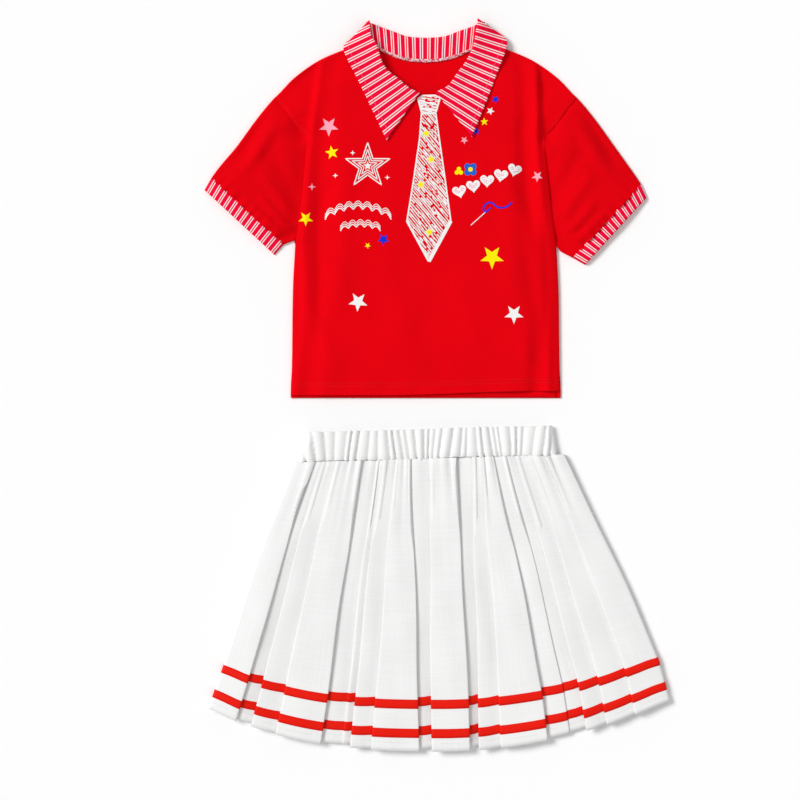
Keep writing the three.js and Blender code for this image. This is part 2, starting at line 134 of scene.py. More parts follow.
class UniformColours(bpy.types.PropertyGroup):
    """Colours of the cloth, the ribbon and the prints"""
    jersey: bpy.props.FloatVectorProperty(name="Jersey", description="Knitted cloth of the top",
                                          subtype="COLOR", default=(0.81, 0.0003, 0.0048))
    crimson: bpy.props.FloatVectorProperty(name="Stripe ground", description="Collar and cuff cloth",
                                           subtype="COLOR", default=(0.87, 0.0006, 0.04))
    stripe: bpy.props.FloatVectorProperty(name="Stripe lines",
                                          description="Double lines of the collar cloth",
                                          subtype="COLOR", default=(0.93, 0.87, 0.86))
    skirt: bpy.props.FloatVectorProperty(name="Skirt cloth", description="Pleated woven cloth",
                                         subtype="COLOR", default=(0.87, 0.87, 0.865))
    ribbon: bpy.props.FloatVectorProperty(name="Ribbon", description="Satin ribbon near the hem",
                                          subtype="COLOR", default=(0.82, 0.008, 0.0012))
    white_film: bpy.props.FloatVectorProperty(name="White print", description="White printed film",
                                              subtype="COLOR", default=(0.88, 0.87, 0.86))
    yellow_film: bpy.props.FloatVectorProperty(name="Yellow print", description="Yellow printed film",
                                               subtype="COLOR", default=(0.95, 0.80, 0.0))
    pink_film: bpy.props.FloatVectorProperty(name="Pink print", description="Pink printed film",
                                             subtype="COLOR", default=(0.93, 0.36, 0.45))
    blue_film: bpy.props.FloatVectorProperty(name="Blue print", description="Blue printed film",
                                             subtype="COLOR", default=(0.001, 0.03, 0.68))
    sky_film: bpy.props.FloatVectorProperty(name="Light blue print",
                                            description="Petals of the flower print",
                                            subtype="COLOR", default=(0.02, 0.17, 0.62))


class UniformSizes(bpy.types.PropertyGroup):
    """Thicknesses, folds and trims"""
    ply: bpy.props.FloatProperty(name="Jersey thickness", description="One ply of the top, in millimetres",
                                 default=1.0, min=0.4, max=2.0)
    puff: bpy.props.FloatProperty(name="Puff",
                                  description="How far the chest stands off its edges, in millimetres",
                                  default=6.5, min=1.0, max=9.0)
    fold: bpy.props.FloatProperty(name="Fold depth", description="Strength of the soft folds in the jersey",
                                  default=1.25, min=0.0, max=2.0)
    stripe_pitch: bpy.props.FloatProperty(name="Stripe pitch",
                                          description="From one double line to the next, in millimetres",
                                          default=9.7, min=4.0, max=20.0)
    film_lift: bpy.props.FloatProperty(name="Print thickness",
                                       description="How far a print stands off the cloth, in millimetres",
                                       default=0.35, min=0.1, max=0.8)
    skirt_ply: bpy.props.FloatProperty(name="Skirt cloth thickness",
                                       description="One ply of the skirt, in millimetres",
                                       default=0.8, min=0.3, max=1.5)
    underlap: bpy.props.FloatProperty(name="Pleat underlap",
                                      description="Depth of the fold behind a pleat's edge, in millimetres",
                                      default=10.0, min=3.0, max=20.0)
    pleat_depth: bpy.props.FloatProperty(name="Pleat depth",
                                         description="Share of the full height between pleats",
                                         default=1.0, min=0.3, max=1.3)
    ribbon_width: bpy.props.FloatProperty(name="Ribbon width",
                                          description="Width of the cut ribbon, in millimetres",
                                          default=12.0, min=4.0, max=20.0)
    gather_pitch: bpy.props.FloatProperty(name="Gather pitch",
                                          description="Mean spacing of the gathers, in millimetres",
                                          default=9.8, min=5.0, max=25.0)


# ---------------------------------------------------------------- curves, outlines and heights

def curve(points, step=3.0):
    """Points along a smooth curve through the given ones, about a step apart."""
    p = np.array(points, dtype=float)
    ends = np.vstack([2 * p[0] - p[1], p, 2 * p[-1] - p[-2]])
    out = []
    for k in range(len(p) - 1):
        a, b, c, d = ends[k:k + 4]
        count = max(1, int(round(np.linalg.norm(c - b) / step)))
        for t in np.arange(count) / count:
            out.append(0.5 * (2 * b + (c - a) * t + (2 * a - 5 * b + 4 * c - d) * t ** 2
                              + (3 * b - a - 3 * c + d) * t ** 3))
    out.append(p[-1])
    return np.array(out)


def line(points, step=3.0):
    """Points along straight stretches."""
    p = np.array(points, dtype=float)
    out = [p[0]]
    for a, b in zip(p, p[1:]):
        count = max(1, int(round(np.linalg.norm(b - a) / step)))
        out.extend(a + (b - a) * (k + 1) / count for k in range(count))
    return np.array(out)


def joined(*chains):
    """One chain from several that follow each other."""
    return np.vstack([chains[0]] + [c[1:] for c in chains[1:]])


def mirrored(chain):
    """The same chain on the other side of the centre line, in the other direction."""
    return (chain * (-1, 1))[::-1]


def resampled(chain, count):
    """Evenly spaced points along a chain."""
    run = np.concatenate([[0], np.cumsum(np.linalg.norm(np.diff(chain, axis=0), axis=1))])
    at = np.linspace(0, run[-1], count)
    return np.stack([np.interp(at, run, chain[:, k]) for k in range(2)], axis=1)


def distance(x, y, chain):
    """Distance of each point from a chain of straight stretches."""
    best = np.full(np.shape(x), 1e9)
    for a, b in zip(chain, chain[1:]):
        d = b - a
        size = max(float(d @ d), 1e-9)
        t = np.clip(((x - a[0]) * d[0] + (y - a[1]) * d[1]) / size, 0, 1)
        best = np.minimum(best, np.hypot(x - a[0] - t * d[0], y - a[1] - t * d[1]))
    return best


def inside(x, y, outline):
    """Whether each point lies inside a closed outline."""
    hit = np.zeros(np.shape(x), dtype=bool)
    for a, b in zip(outline, np.roll(outline, -1, axis=0)):
        crosses = (a[1] > y) != (b[1] > y)
        rise = b[1] - a[1] if b[1] != a[1] else 1e-9
        hit ^= crosses & (x < (b[0] - a[0]) * (y - a[1]) / rise + a[0])
    return hit


def smooth(t):
    """0 to 1 with a flat start and end."""
    t = np.clip(t, 0, 1)
    return t * t * (3 - 2 * t)


def roll(t):
    """A quarter round: rises steeply from 0 and levels off at 1."""
    t = np.clip(t, 0, 1)
    return np.sqrt(np.maximum(0, 1 - (1 - t) ** 2))


def ridge(x, y, start, end, width, height):
    """A soft fold from one point to another, fading at both ends."""
    dx, dy = end[0] - start[0], end[1] - start[1]
    run = math.hypot(dx, dy)
    along = ((x - start[0]) * dx + (y - start[1]) * dy) / run
    across = ((x - start[0]) * dy - (y - start[1]) * dx) / run
    fade = smooth(along / run * 3.5) * smooth((1 - along / run) * 3.5)
    return height * np.exp(-(across / width) ** 2) * fade


def drift(x, y, size):
    """A slow, uneven swell of about -1 to 1, with waves of roughly the given size."""
    k = 2 * math.pi / size
    return (np.sin(k * (x * 0.9 + y * 0.31) + 1.3) + np.sin(k * (y * 0.8 - x * 0.42) + 4.1)
            + np.sin(k * 1.7 * (x * 0.35 + y * 0.77) + 2.2) * 0.6) / 2.6


SIDE_CHAIN = joined(curve(SIDE), curve(SIDE_FOLD))
SHOULDER_CHAIN = curve(SHOULDER)
ARMHOLE_CHAIN = curve(ARMHOLE)
SLEEVE_TOP_CHAIN = curve(SLEEVE_TOP)
NECK_CHAIN = curve(FRONT_NECK)
SIDE_FOLD_CHAIN = curve(SIDE_FOLD)

FRONT_HALF = joined(line([(0, 0), (HEM_HALF, 0)]), SIDE_CHAIN, ARMHOLE_CHAIN, SHOULDER_CHAIN, NECK_CHAIN)


def hem_tilt(x, y):
    """The front's hem lies a little higher on one side, so that the back's hem shows below it."""
    return (HEM_RISE + HEM_TILT * smooth((x + 60) / 210)) * (1 - smooth(y / 90))


FRONT_OUTLINE = np.vstack([FRONT_HALF, mirrored(FRONT_HALF)[1:-1]])
FRONT_OUTLINE[:, 1] += hem_tilt(FRONT_OUTLINE[:, 0], FRONT_OUTLINE[:, 1])
BACK_HALF = joined(line([(0, -BACK_HEM_DROP), (HEM_HALF + 1, -BACK_HEM_DROP)]),
                   curve([(HEM_HALF + 1, -BACK_HEM_DROP)] + SIDE[1:]), line([SIDE[-1], SHOULDER[0]]),
                   SHOULDER_CHAIN, curve(BACK_NECK))
BACK_OUTLINE = np.vstack([BACK_HALF, mirrored(BACK_HALF)[1:-1]])
SLEEVE_OUTLINE = joined(SLEEVE_TOP_CHAIN, line(CUFF_SEAM), line(UNDERARM), curve(SLEEVE_TUCK),
                        line([SLEEVE_TUCK[-1], SLEEVE_TOP[0]]))[:-1]

# Height of the flattened top's edges, and the spacing of the points inside its sheets.
EDGE_Z = 2.5
SHEET_STEP = 3.6

# Soft folds: start, end, width and height.
CHEST_FOLDS = [
    ((-146, 318), (-152, 30), 8, 1.9), ((-124, 340), (-136, 60), 11, -1.9),
    ((-104, 330), (-112, 90), 15, 1.5),
    ((146, 322), (152, 60), 8, 1.9), ((124, 345), (138, 90), 12, -1.9), ((104, 330), (118, 120), 15, 1.5),
    ((170, 412), (140, 330), 12, 1.6), ((-170, 412), (-142, 330), 12, 1.6),
    ((150, 400), (112, 320), 9, -0.9), ((-150, 400), (-116, 320), 9, -0.9),
    ((-60, 190), (-20, 60), 16, 1.1), ((40, 170), (70, 50), 18, 1.2), ((-150, 120), (-110, 20), 12, 1.4),
    ((120, 70), (160, 8), 9, 1.4), ((-10, 120), (20, 10), 14, -1.1), ((128, 250), (150, 130), 9, 1.4),
    ((108, 300), (150, 225), 8, -1.4), ((-110, 300), (-150, 215), 8, -1.2),
]
SLEEVE_FOLDS = [
    ((172, 204), (222, 262), 6, 2.4), ((182, 200), (238, 250), 5, 2.0), ((168, 226), (222, 300), 8, 2.2),
    ((166, 250), (206, 330), 9, -1.8), ((185, 375), (232, 300), 10, 1.8), ((205, 372), (255, 292), 8, -1.5),
    ((176, 214), (205, 226), 4, -2.0), ((190, 345), (215, 300), 7, -1.2), ((212, 330), (240, 285), 7, 1.2),
]


def front_height(x, y, sizes):
    """Outer surface of the shirt's front."""
    across = np.abs(x)
    side = distance(across, y, SIDE_CHAIN)
    shoulder = distance(across, y, joined(SHOULDER_CHAIN[::-1], SLEEVE_TOP_CHAIN))
    neck = distance(across, y, NECK_CHAIN)
    edge = np.minimum(side, shoulder)
    z = EDGE_Z + 3 * roll(edge / 4.5) + sizes.puff * smooth(edge / 46)
    z += 2.8 * np.exp(-(side / 30) ** 2) * smooth((y - 190) / 26)
    z -= 4.2 * (1 - smooth(y / 70)) * smooth(edge / 30)
    z -= 2.6 * (1 - smooth(neck / 22))
    folds = sum(ridge(x, y, *fold) for fold in CHEST_FOLDS)
    folds += 0.55 * drift(x, y, 120)
    folds += 0.22 * drift(y, x, 47)
    beside = across - np.interp(y, [p[1] for p in CREASE], [p[0] for p in CREASE])
    beside = beside + 3.2 * np.sin(y / 47 + np.sign(x) * 1.3)
    sway = 0.66 + 0.34 * np.sin(y / 58 + np.sign(x) * 2)
    folds += sway * (2.8 * np.exp(-(beside / 5.5) ** 2) - 2.9 * np.exp(-((beside + 17) / 9) ** 2))
    z += sizes.fold * folds * smooth(edge / 9)
    sunk = smooth(beside / 7) * np.exp(-(np.maximum(beside - 7, 0) / 26) ** 2)
    z -= 6.4 * sunk * smooth((y - 318) / 24) * smooth((446 - y) / 30) * smooth(edge / 5)
    z -= 1.0 * np.exp(-(distance(across, y, ARMHOLE_CHAIN) / 2.6) ** 2)
    z += sizes.fold * 0.5 * np.sin(x / 7.5 + 0.8 * np.sin(x / 31)) * np.exp(-np.abs(y - 8) / 9)
    return np.maximum(z, EDGE_Z - 0.4)


def back_height(x, y):
    """Outer, lower surface of the shirt's back."""
    across = np.abs(x)
    edge = np.minimum(distance(across, y, SIDE_CHAIN), distance(across, y, SHOULDER_CHAIN))
    return 0.5 + 1.3 * (1 - roll(edge / 4.5)) + 0.7 * smooth((y - 420) / 20) + 0.15 * drift(x, y, 90)


def sleeve_heights(x, y, side, sizes):
    """Upper and lower surfaces of one sleeve, in the right-hand sleeve's place."""
    rim = np.minimum(distance(x, y, joined(SHOULDER_CHAIN[::-1], SLEEVE_TOP_CHAIN)),
                     distance(x, y, line(UNDERARM)))
    fold = distance(x, y, SIDE_FOLD_CHAIN)
    seam = distance(x, y, ARMHOLE_CHAIN)
    cuff = distance(x, y, line(CUFF_SEAM))
    upper = EDGE_Z + 2.2 * roll(rim / 4) + 4.2 * smooth(rim / 30)
    folds = sum(ridge(x, y, *f) for f in SLEEVE_FOLDS) + 0.5 * drift(x * side, y, 70)
    run = (x - CUFF_SEAM[1][0]) * 0.719 + (y - CUFF_SEAM[1][1]) * 0.695
    folds += 1.5 * np.sin(run / 2.3 + 1.2 * np.sin(run / 9)) * np.exp(-cuff / 7)
    upper += sizes.fold * folds * smooth(rim / 9)
    upper -= 4.6 * np.exp(-(fold / 15) ** 2) * smooth((338 - y) / 34) * smooth(rim / 8)
    tucked = inside(x, y, FRONT_OUTLINE)
    below = np.where(tucked, 1.35, 0.2 + 1.15 * np.exp(-(seam / 1.6) ** 2))
    chest = front_height(x * side, y, sizes) - below
    share = np.exp(-(seam / 19) ** 2)
    upper = upper * (1 - share) + chest * share
    upper = np.where(tucked, np.minimum(upper, chest), upper)
    upper = np.maximum(upper, EDGE_Z - 0.3)
    lower = EDGE_Z - 2.0 * roll(rim / 4) + 1.5 * tucked
    return upper, np.minimum(lower, upper - 0.3 * smooth(rim / 2))


def cuff_shift(points, name):
    """How far one sleeve's own lie moves its points from the drawn outline, growing towards the cuff."""
    outer, inner = np.array(CUFF_SEAM[0]), np.array(CUFF_SEAM[1])
    along = inner - outer
    run = float(np.hypot(*along))
    beyond = ((points[:, 0] - inner[0]) * -along[1] + (points[:, 1] - inner[1]) * along[0]) / run
    share = np.clip((points - outer) @ along / run ** 2, 0, 1)[:, None]
    moves = np.array(CUFF_ENDS[name]) - np.array(CUFF_SEAM)
    return smooth((beyond + 70) / 70)[:, None] * (moves[0] * (1 - share) + moves[1] * share)


# ---------------------------------------------------------------- mesh tools

def clear_selection():
    """Deselect everything, because loading the frame leaves its nodes selected."""
    for o in bpy.context.selected_objects:
        o.select_set(False)


def make_piece(name, verts, faces, at, uv, material, flip=False, merge=False):
    """A mesh object whose place is in its mesh. verts are (n, 3) in millimetres, uv (n, 2) or a function."""
    mesh = bpy.data.meshes.new(name)
    placed = (np.asarray(verts) + (at[0], at[1], 0)) * MM
    if flip:
        faces = [tuple(reversed(f)) for f in faces]
    mesh.from_pydata(placed.tolist(), [], [tuple(int(i) for i in f) for f in faces])
    layer = mesh.uv_layers.new(name="cloth")
    table = uv(verts[:, 0], verts[:, 1]) if callable(uv) else uv
    index = np.empty(len(mesh.loops), dtype=np.int32)
    mesh.loops.foreach_get("vertex_index", index)
    layer.data.foreach_set("uv", (np.asarray(table)[index] * MM).astype(np.float32).ravel())
    if merge:
        work = bmesh.new()
        work.from_mesh(mesh)
        bmesh.ops.remove_doubles(work, verts=work.verts, dist=0.02 * MM)
        work.to_mesh(mesh)
        work.free()
    mesh.polygons.foreach_set("use_smooth", [True] * len(mesh.polygons))
    mesh.materials.append(material)
    mesh.update()
    piece = bpy.data.objects.new(name, mesh)
    bpy.context.scene.collection.objects.link(piece)
    return piece


def thicken(piece, thickness):
    """Give a single sheet its cloth thickness, towards its inner side."""
    solid = piece.modifiers.new("thickness", "SOLIDIFY")
    solid.thickness = thickness * MM
    solid.offset = -1
    solid.use_rim = True


def filled(outline, step=SHEET_STEP, insets=(0.7, 1.8, 3.2)):
    """Points and triangles covering an outline, closer together along its edge."""
    outline = np.asarray(outline)
    if area_sign(outline) < 0:
        outline = outline[::-1]
    tangent = np.roll(outline, -1, axis=0) - np.roll(outline, 1, axis=0)
    normal = np.stack([-tangent[:, 1], tangent[:, 0]], axis=1)
    normal /= np.maximum(np.linalg.norm(normal, axis=1, keepdims=True), 1e-9)
    loop = np.vstack([outline, outline[:1]])
    rings = [outline + normal * inset for inset in insets]
    low, high = outline.min(axis=0), outline.max(axis=0)
    gx, gy = np.meshgrid(np.arange(low[0], high[0], step), np.arange(low[1], high[1], step * 0.87))
    gx = gx + (np.arange(gx.shape[0]) % 2)[:, None] * step / 2
    inner = np.stack([gx.ravel(), gy.ravel()], axis=1)
    keep = inside(inner[:, 0], inner[:, 1], outline)
    inner = inner[keep]
    reach = insets[-1] if insets else 0
    inner = inner[distance(inner[:, 0], inner[:, 1], loop) > reach + step * 0.45]
    points = [outline]
    for inset, ring in zip(insets, rings):
        ring = ring[inside(ring[:, 0], ring[:, 1], outline)]
        points.append(ring[distance(ring[:, 0], ring[:, 1], loop) > inset * 0.9])
    points = np.vstack(points + [inner])
    count = len(outline)
    result = geometry.delaunay_2d_cdt([tuple(p) for p in points], [], [list(range(count))], 1, 1e-4, False)
    flat = np.array([tuple(v) for v in result[0]])
    tris = np.array([tuple(f) for f in result[2]])
    middles = flat[tris].mean(axis=1)
    return flat, tris[inside(middles[:, 0], middles[:, 1], outline)].tolist()


def area_sign(outline):
    """Above zero when an outline runs anticlockwise."""
    x, y = outline[:, 0], outline[:, 1]
    return float(np.sum(x * np.roll(y, -1) - y * np.roll(x, -1)))


def upward(points, faces):
    """The same triangles, all turned to face up."""
    out = []
    for f in faces:
        a, b, c = (points[i] for i in f[:3])
        turn = (b[0] - a[0]) * (c[1] - a[1]) - (b[1] - a[1]) * (c[0] - a[0])
        out.append(tuple(f) if turn > 0 else tuple(reversed(f)))
    return out


def grid_faces(rows, columns, closed=False):
    """Quads of a grid of points, row by row."""
    last = columns if closed else columns - 1
    return [(r * columns + c, r * columns + (c + 1) % columns, (r + 1) * columns + (c + 1) % columns,
             (r + 1) * columns + c) for r in range(rows - 1) for c in range(last)]


def grid_normals(grid):
    """Normal of each point of a grid of points."""
    along = np.gradient(grid, axis=1)
    down = np.gradient(grid, axis=0)
    normal = np.cross(along, down)
    return normal / np.maximum(np.linalg.norm(normal, axis=2, keepdims=True), 1e-9)


def strip_piece(paths, widths, height, step=2.5):
    """Flat strips along paths, each following the height of the cloth. Gives points and quads."""
    verts, faces = [], []
    for path, width in zip(paths, widths):
        path = line(path, step)
        tangent = np.gradient(path, axis=0)
        tangent /= np.maximum(np.linalg.norm(tangent, axis=1, keepdims=True), 1e-9)
        side = np.stack([-tangent[:, 1], tangent[:, 0]], axis=1)
        taper = np.broadcast_to(np.asarray(width, dtype=float), (len(path),))[:, None] / 2
        start = len(verts)
        for left, right in zip(path + side * taper, path - side * taper):
            verts.extend([left, right])
        for k in range(len(path) - 1):
            a = start + 2 * k
            faces.append((a, a + 1, a + 3, a + 2))
    flat = np.array(verts)
    z = height(flat[:, 0], flat[:, 1])
    return np.column_stack([flat, z]), faces


def stitches(name, path, height, at, material, body, pitch=3.0, length=2.1, width=0.55, blend=None):
    """A row of raised thread stitches along a path on the cloth."""
    run = np.concatenate([[0], np.cumsum(np.linalg.norm(np.diff(path, axis=0), axis=1))])
    starts = np.arange(pitch / 2, run[-1] - length, pitch)
    marks = starts[:, None] + length * np.array([0, 0.25, 0.75, 1])[None, :]
    spots = np.stack([np.interp(marks, run, path[:, k]) for k in range(2)], axis=2)
    ahead = spots[:, -1] - spots[:, 0]
    ahead /= np.maximum(np.linalg.norm(ahead, axis=1, keepdims=True), 1e-9)
    sides = np.stack([-ahead[:, 1], ahead[:, 0]], axis=1) * width / 2
    levels = height(spots[..., 0].ravel(), spots[..., 1].ravel()).reshape(marks.shape)
    verts, faces = [], []
    for stitch, side, level in zip(spots, sides, levels):
        base = len(verts)
        for spot, z, rise, full in zip(stitch, level, (0.02, 0.34, 0.34, 0.02), (0.5, 1, 1, 0.5)):
            for offset, up in ((-1, 0), (-0.5, rise), (0.5, rise), (1, 0)):
                verts.append((spot[0] + side[0] * offset * full, spot[1] + side[1] * offset * full, z + up))
        for r in range(3):
            for c in range(3):
                a = base + 4 * r + c
                faces.append((a, a + 4, a + 5, a + 1))
    table = np.array(verts)
    piece = make_piece(name, table, faces, at, table[:, :2], material, flip=True)
    if blend:
        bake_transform(piece)
    else:
        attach(piece, body)


def reverse(piece):
    """Turn all of a piece's faces over."""
    work = bmesh.new()
    work.from_mesh(piece.data)
    bmesh.ops.reverse_faces(work, faces=work.faces)
    work.to_mesh(piece.data)
    work.free()


def face_up(piece):
    """Turn a sheet's faces so that most of its area faces up."""
    if sum(p.normal.z * p.area for p in piece.data.polygons) < 0:
        reverse(piece)


def outward(piece):
    """Turn a flattened ring's faces outwards: up on its upper side."""
    mesh = piece.data
    middle = sum(v.co.z for v in mesh.vertices) / len(mesh.vertices)
    total = sum(p.normal.z * p.area * (1 if p.center.z > middle else -1) for p in mesh.polygons)
    if total < 0:
        reverse(piece)


# ---------------------------------------------------------------- materials

def new_group(name, inputs, outputs):
    """A node group with named sockets. Gives the group, its input node and its output node."""
    group = bpy.data.node_groups.new(name, "ShaderNodeTree")
    for label, kind, default in inputs:
        socket = group.interface.new_socket(name=label, in_out="INPUT", socket_type=kind)
        if default is not None:
            socket.default_value = default
    for label, kind in outputs:
        group.interface.new_socket(name=label, in_out="OUTPUT", socket_type=kind)
    return group, group.nodes.new("NodeGroupInput"), group.nodes.new("NodeGroupOutput")


def math_out(tree, operation, a, b=None, c=None):
    """A math node whose inputs are sockets or numbers. Gives its output."""
    node = tree.nodes.new("ShaderNodeMath")
    node.operation = operation
    for socket, value in zip(node.inputs, (a, b, c)):
        if value is None:
            continue
        if isinstance(value, (int, float)):
            socket.default_value = value
        else:
            tree.links.new(value, socket)
    return node.outputs[0]


def noise_node(tree, vector, scale, detail=2.0, roughness=0.5):
    """A noise texture read at a vector. Gives its value."""
    node = tree.nodes.new("ShaderNodeTexNoise")
    node.inputs["Scale"].default_value = scale
    node.inputs["Detail"].default_value = detail
    node.inputs["Roughness"].default_value = roughness
    tree.links.new(vector, node.inputs["Vector"])
    return node.outputs["Fac"]


def stretched(tree, vector, scale):
    """A vector scaled by a different number along each axis."""
    node = tree.nodes.new("ShaderNodeMapping")
    node.inputs["Scale"].default_value = scale
    tree.links.new(vector, node.inputs["Vector"])
    return node.outputs["Vector"]


def shaded(tree, colour, factor):
    """A colour times a number."""
    node = tree.nodes.new("ShaderNodeVectorMath")
    node.operation = "SCALE"
    tree.links.new(colour, node.inputs[0])
    tree.links.new(factor, node.inputs["Scale"])
    return node.outputs[0]


def ribs(tree, value, rate):
    """Rounded ribs along one coordinate, 0 between them and 1 on their crests."""
    return math_out(tree, "ABSOLUTE", math_out(tree, "SINE", math_out(tree, "MULTIPLY", value, rate)))


def build_knit():
    """Rows of V-shaped knitted loops, with painted shade between them."""
    g, inp, out = new_group("knit", [("Vector", "NodeSocketVector", None),
                                     ("Loops per metre", "NodeSocketFloat", 900.0)],
                            [("Height", "NodeSocketFloat"), ("Shade", "NodeSocketFloat")])
    parts = g.nodes.new("ShaderNodeSeparateXYZ")
    g.links.new(inp.outputs["Vector"], parts.inputs[0])
    gauge = inp.outputs["Loops per metre"]
    x = math_out(g, "FRACT", math_out(g, "MULTIPLY", parts.outputs[0], gauge))
    lean = math_out(g, "ABSOLUTE", math_out(g, "SUBTRACT", x, 0.5))
    y = math_out(g, "MULTIPLY_ADD", math_out(g, "MULTIPLY", parts.outputs[1], gauge), 1.25, lean)
    loop = ribs(g, y, math.pi)
    wale = ribs(g, x, 2 * math.pi)
    height = math_out(g, "MULTIPLY", math_out(g, "POWER", wale, 0.5),
                      math_out(g, "MULTIPLY_ADD", loop, 0.6, 0.4))
    g.links.new(height, out.inputs["Height"])
    # Shade is painted shade: darker in the grooves between the loops, lighter on their crests.
    g.links.new(math_out(g, "MULTIPLY_ADD", height, 0.12, 0.92), out.inputs["Shade"])
    return g


def build_weave():
    """Plain weave: threads that pass over and under, with slubs in both directions, and painted highlight
    where the threads pass over.
    """
    g, inp, out = new_group("weave", [("Vector", "NodeSocketVector", None),
                                      ("Threads per metre", "NodeSocketFloat", 1200.0),
                                      ("Slub", "NodeSocketFloat", 0.5)],
                            [("Height", "NodeSocketFloat"), ("Shade", "NodeSocketFloat")])
    parts = g.nodes.new("ShaderNodeSeparateXYZ")
    g.links.new(inp.outputs["Vector"], parts.inputs[0])
    count = math_out(g, "MULTIPLY", inp.outputs["Threads per metre"], math.pi)
    across = math_out(g, "SINE", math_out(g, "MULTIPLY", parts.outputs[0], count))
    along = math_out(g, "SINE", math_out(g, "MULTIPLY", parts.outputs[1], count))
    over = math_out(g, "MULTIPLY_ADD", math_out(g, "MULTIPLY", across, along), 0.5, 0.5)
    warp = noise_node(g, stretched(g, inp.outputs["Vector"], (420, 9, 9)), 1.0, 3.0, 0.6)
    weft = noise_node(g, stretched(g, inp.outputs["Vector"], (9, 420, 9)), 1.0, 3.0, 0.6)
    slub = math_out(g, "SUBTRACT", math_out(g, "ADD", warp, weft), 1.0)
    slub = math_out(g, "MULTIPLY", slub, inp.outputs["Slub"])
    g.links.new(math_out(g, "ADD", math_out(g, "MULTIPLY", over, 0.5), slub), out.inputs["Height"])
    # Shade: the slubs' own uneven tone, and painted highlight on the raised thread crossings.
    shade = math_out(g, "MULTIPLY_ADD", slub, 0.13, 0.97)
    g.links.new(math_out(g, "MULTIPLY_ADD", over, 0.05, shade), out.inputs["Shade"])
    return g


def build_worn():
    """Slow changes of shade and gloss over the cloth, from washing and handling, and lint between them."""
    g, inp, out = new_group("worn_cloth", [("Vector", "NodeSocketVector", None),
                                           ("Colour", "NodeSocketColor", (1, 1, 1, 1)),
                                           ("Shade", "NodeSocketFloat", 1.0),
                                           ("Change", "NodeSocketFloat", 0.06),
                                           ("Roughness", "NodeSocketFloat", 0.85)],
                            [("Colour", "NodeSocketColor"), ("Roughness", "NodeSocketFloat"),
                             ("Height", "NodeSocketFloat")])
    broad = noise_node(g, inp.outputs["Vector"], 11.0, 3.0, 0.55)
    lint = noise_node(g, inp.outputs["Vector"], 420.0, 2.0, 0.6)
    change = math_out(g, "MULTIPLY", math_out(g, "SUBTRACT", broad, 0.5), inp.outputs["Change"])
    speck = math_out(g, "MULTIPLY", math_out(g, "SUBTRACT", lint, 0.5), inp.outputs["Change"])
    factor = math_out(g, "ADD", math_out(g, "ADD", change, speck), inp.outputs["Shade"])
    g.links.new(shaded(g, inp.outputs["Colour"], factor), out.inputs["Colour"])
    g.links.new(math_out(g, "MULTIPLY_ADD", broad, 0.12,
                         math_out(g, "SUBTRACT", inp.outputs["Roughness"], 0.06)),
                out.inputs["Roughness"])
    g.links.new(math_out(g, "MULTIPLY_ADD", broad, 0.6, math_out(g, "MULTIPLY", lint, 0.4)),
                out.inputs["Height"])
    return g


def build_stripes():
    """Pairs of thin lines at a pitch along one coordinate. 1 on a line."""
    g, inp, out = new_group("double_lines", [("Along", "NodeSocketFloat", 0.0),
                                             ("Pitch", "NodeSocketFloat", 0.0097),
                                             ("Line", "NodeSocketFloat", 0.062),
                                             ("Apart", "NodeSocketFloat", 0.15)],
                            [("Mask", "NodeSocketFloat")])
    pairs = math_out(g, "DIVIDE", inp.outputs["Along"], inp.outputs["Pitch"])
    place = math_out(g, "SUBTRACT", math_out(g, "FRACT", pairs), 0.5)
    off = math_out(g, "SUBTRACT", math_out(g, "ABSOLUTE", place), inp.outputs["Apart"])
    off = math_out(g, "ABSOLUTE", off)
    ramp = g.nodes.new("ShaderNodeMapRange")
    ramp.interpolation_type = "SMOOTHSTEP"
    g.links.new(off, ramp.inputs["Value"])
    g.links.new(math_out(g, "MULTIPLY", inp.outputs["Line"], 0.8), ramp.inputs["From Min"])
    g.links.new(math_out(g, "MULTIPLY", inp.outputs["Line"], 1.25), ramp.inputs["From Max"])
    ramp.inputs["To Min"].default_value = 1.0
    ramp.inputs["To Max"].default_value = 0.0
    g.links.new(ramp.outputs[0], out.inputs["Mask"])
    return g


GROUPS = {}


def put_group(tree, name, **values):
    """Place a shared group in a material, with its own values or links."""
    node = tree.nodes.new("ShaderNodeGroup")
    node.node_tree = GROUPS[name]
    for label, value in values.items():
        socket = node.inputs[label.replace("_", " ")]
        if isinstance(value, bpy.types.NodeSocket):
            tree.links.new(value, socket)
        else:
            socket.default_value = value
    return node


def start_material(name, sheen, specular=0.3):
    """A new material with the cloth's constant settings on its shader."""
    material = bpy.data.materials.new(name)
    material.use_nodes = True
    tree = material.node_tree
    shader = tree.nodes["Principled BSDF"]
    shader.inputs["Sheen Weight"].default_value = sheen
    shader.inputs["Sheen Roughness"].default_value = 0.5
    shader.inputs["Specular IOR Level"].default_value = specular
    place = tree.nodes.new("ShaderNodeTexCoord")
    return material, tree, shader, place


def finish_material(tree, shader, worn, height, strength, reach):
    """Link colour, roughness and bump. reach is the bump's depth in millimetres."""
    tree.links.new(worn.outputs["Colour"], shader.inputs["Base Color"])
    tree.links.new(worn.outputs["Roughness"], shader.inputs["Roughness"])
    bump = tree.nodes.new("ShaderNodeBump")
    bump.inputs["Strength"].default_value = strength
    bump.inputs["Distance"].default_value = reach * MM
    tree.links.new(height, bump.inputs["Height"])
    tree.links.new(bump.outputs["Normal"], shader.inputs["Normal"])


def colour4(value):
    """A colour with full opacity."""
    return (value[0], value[1], value[2], 1.0)


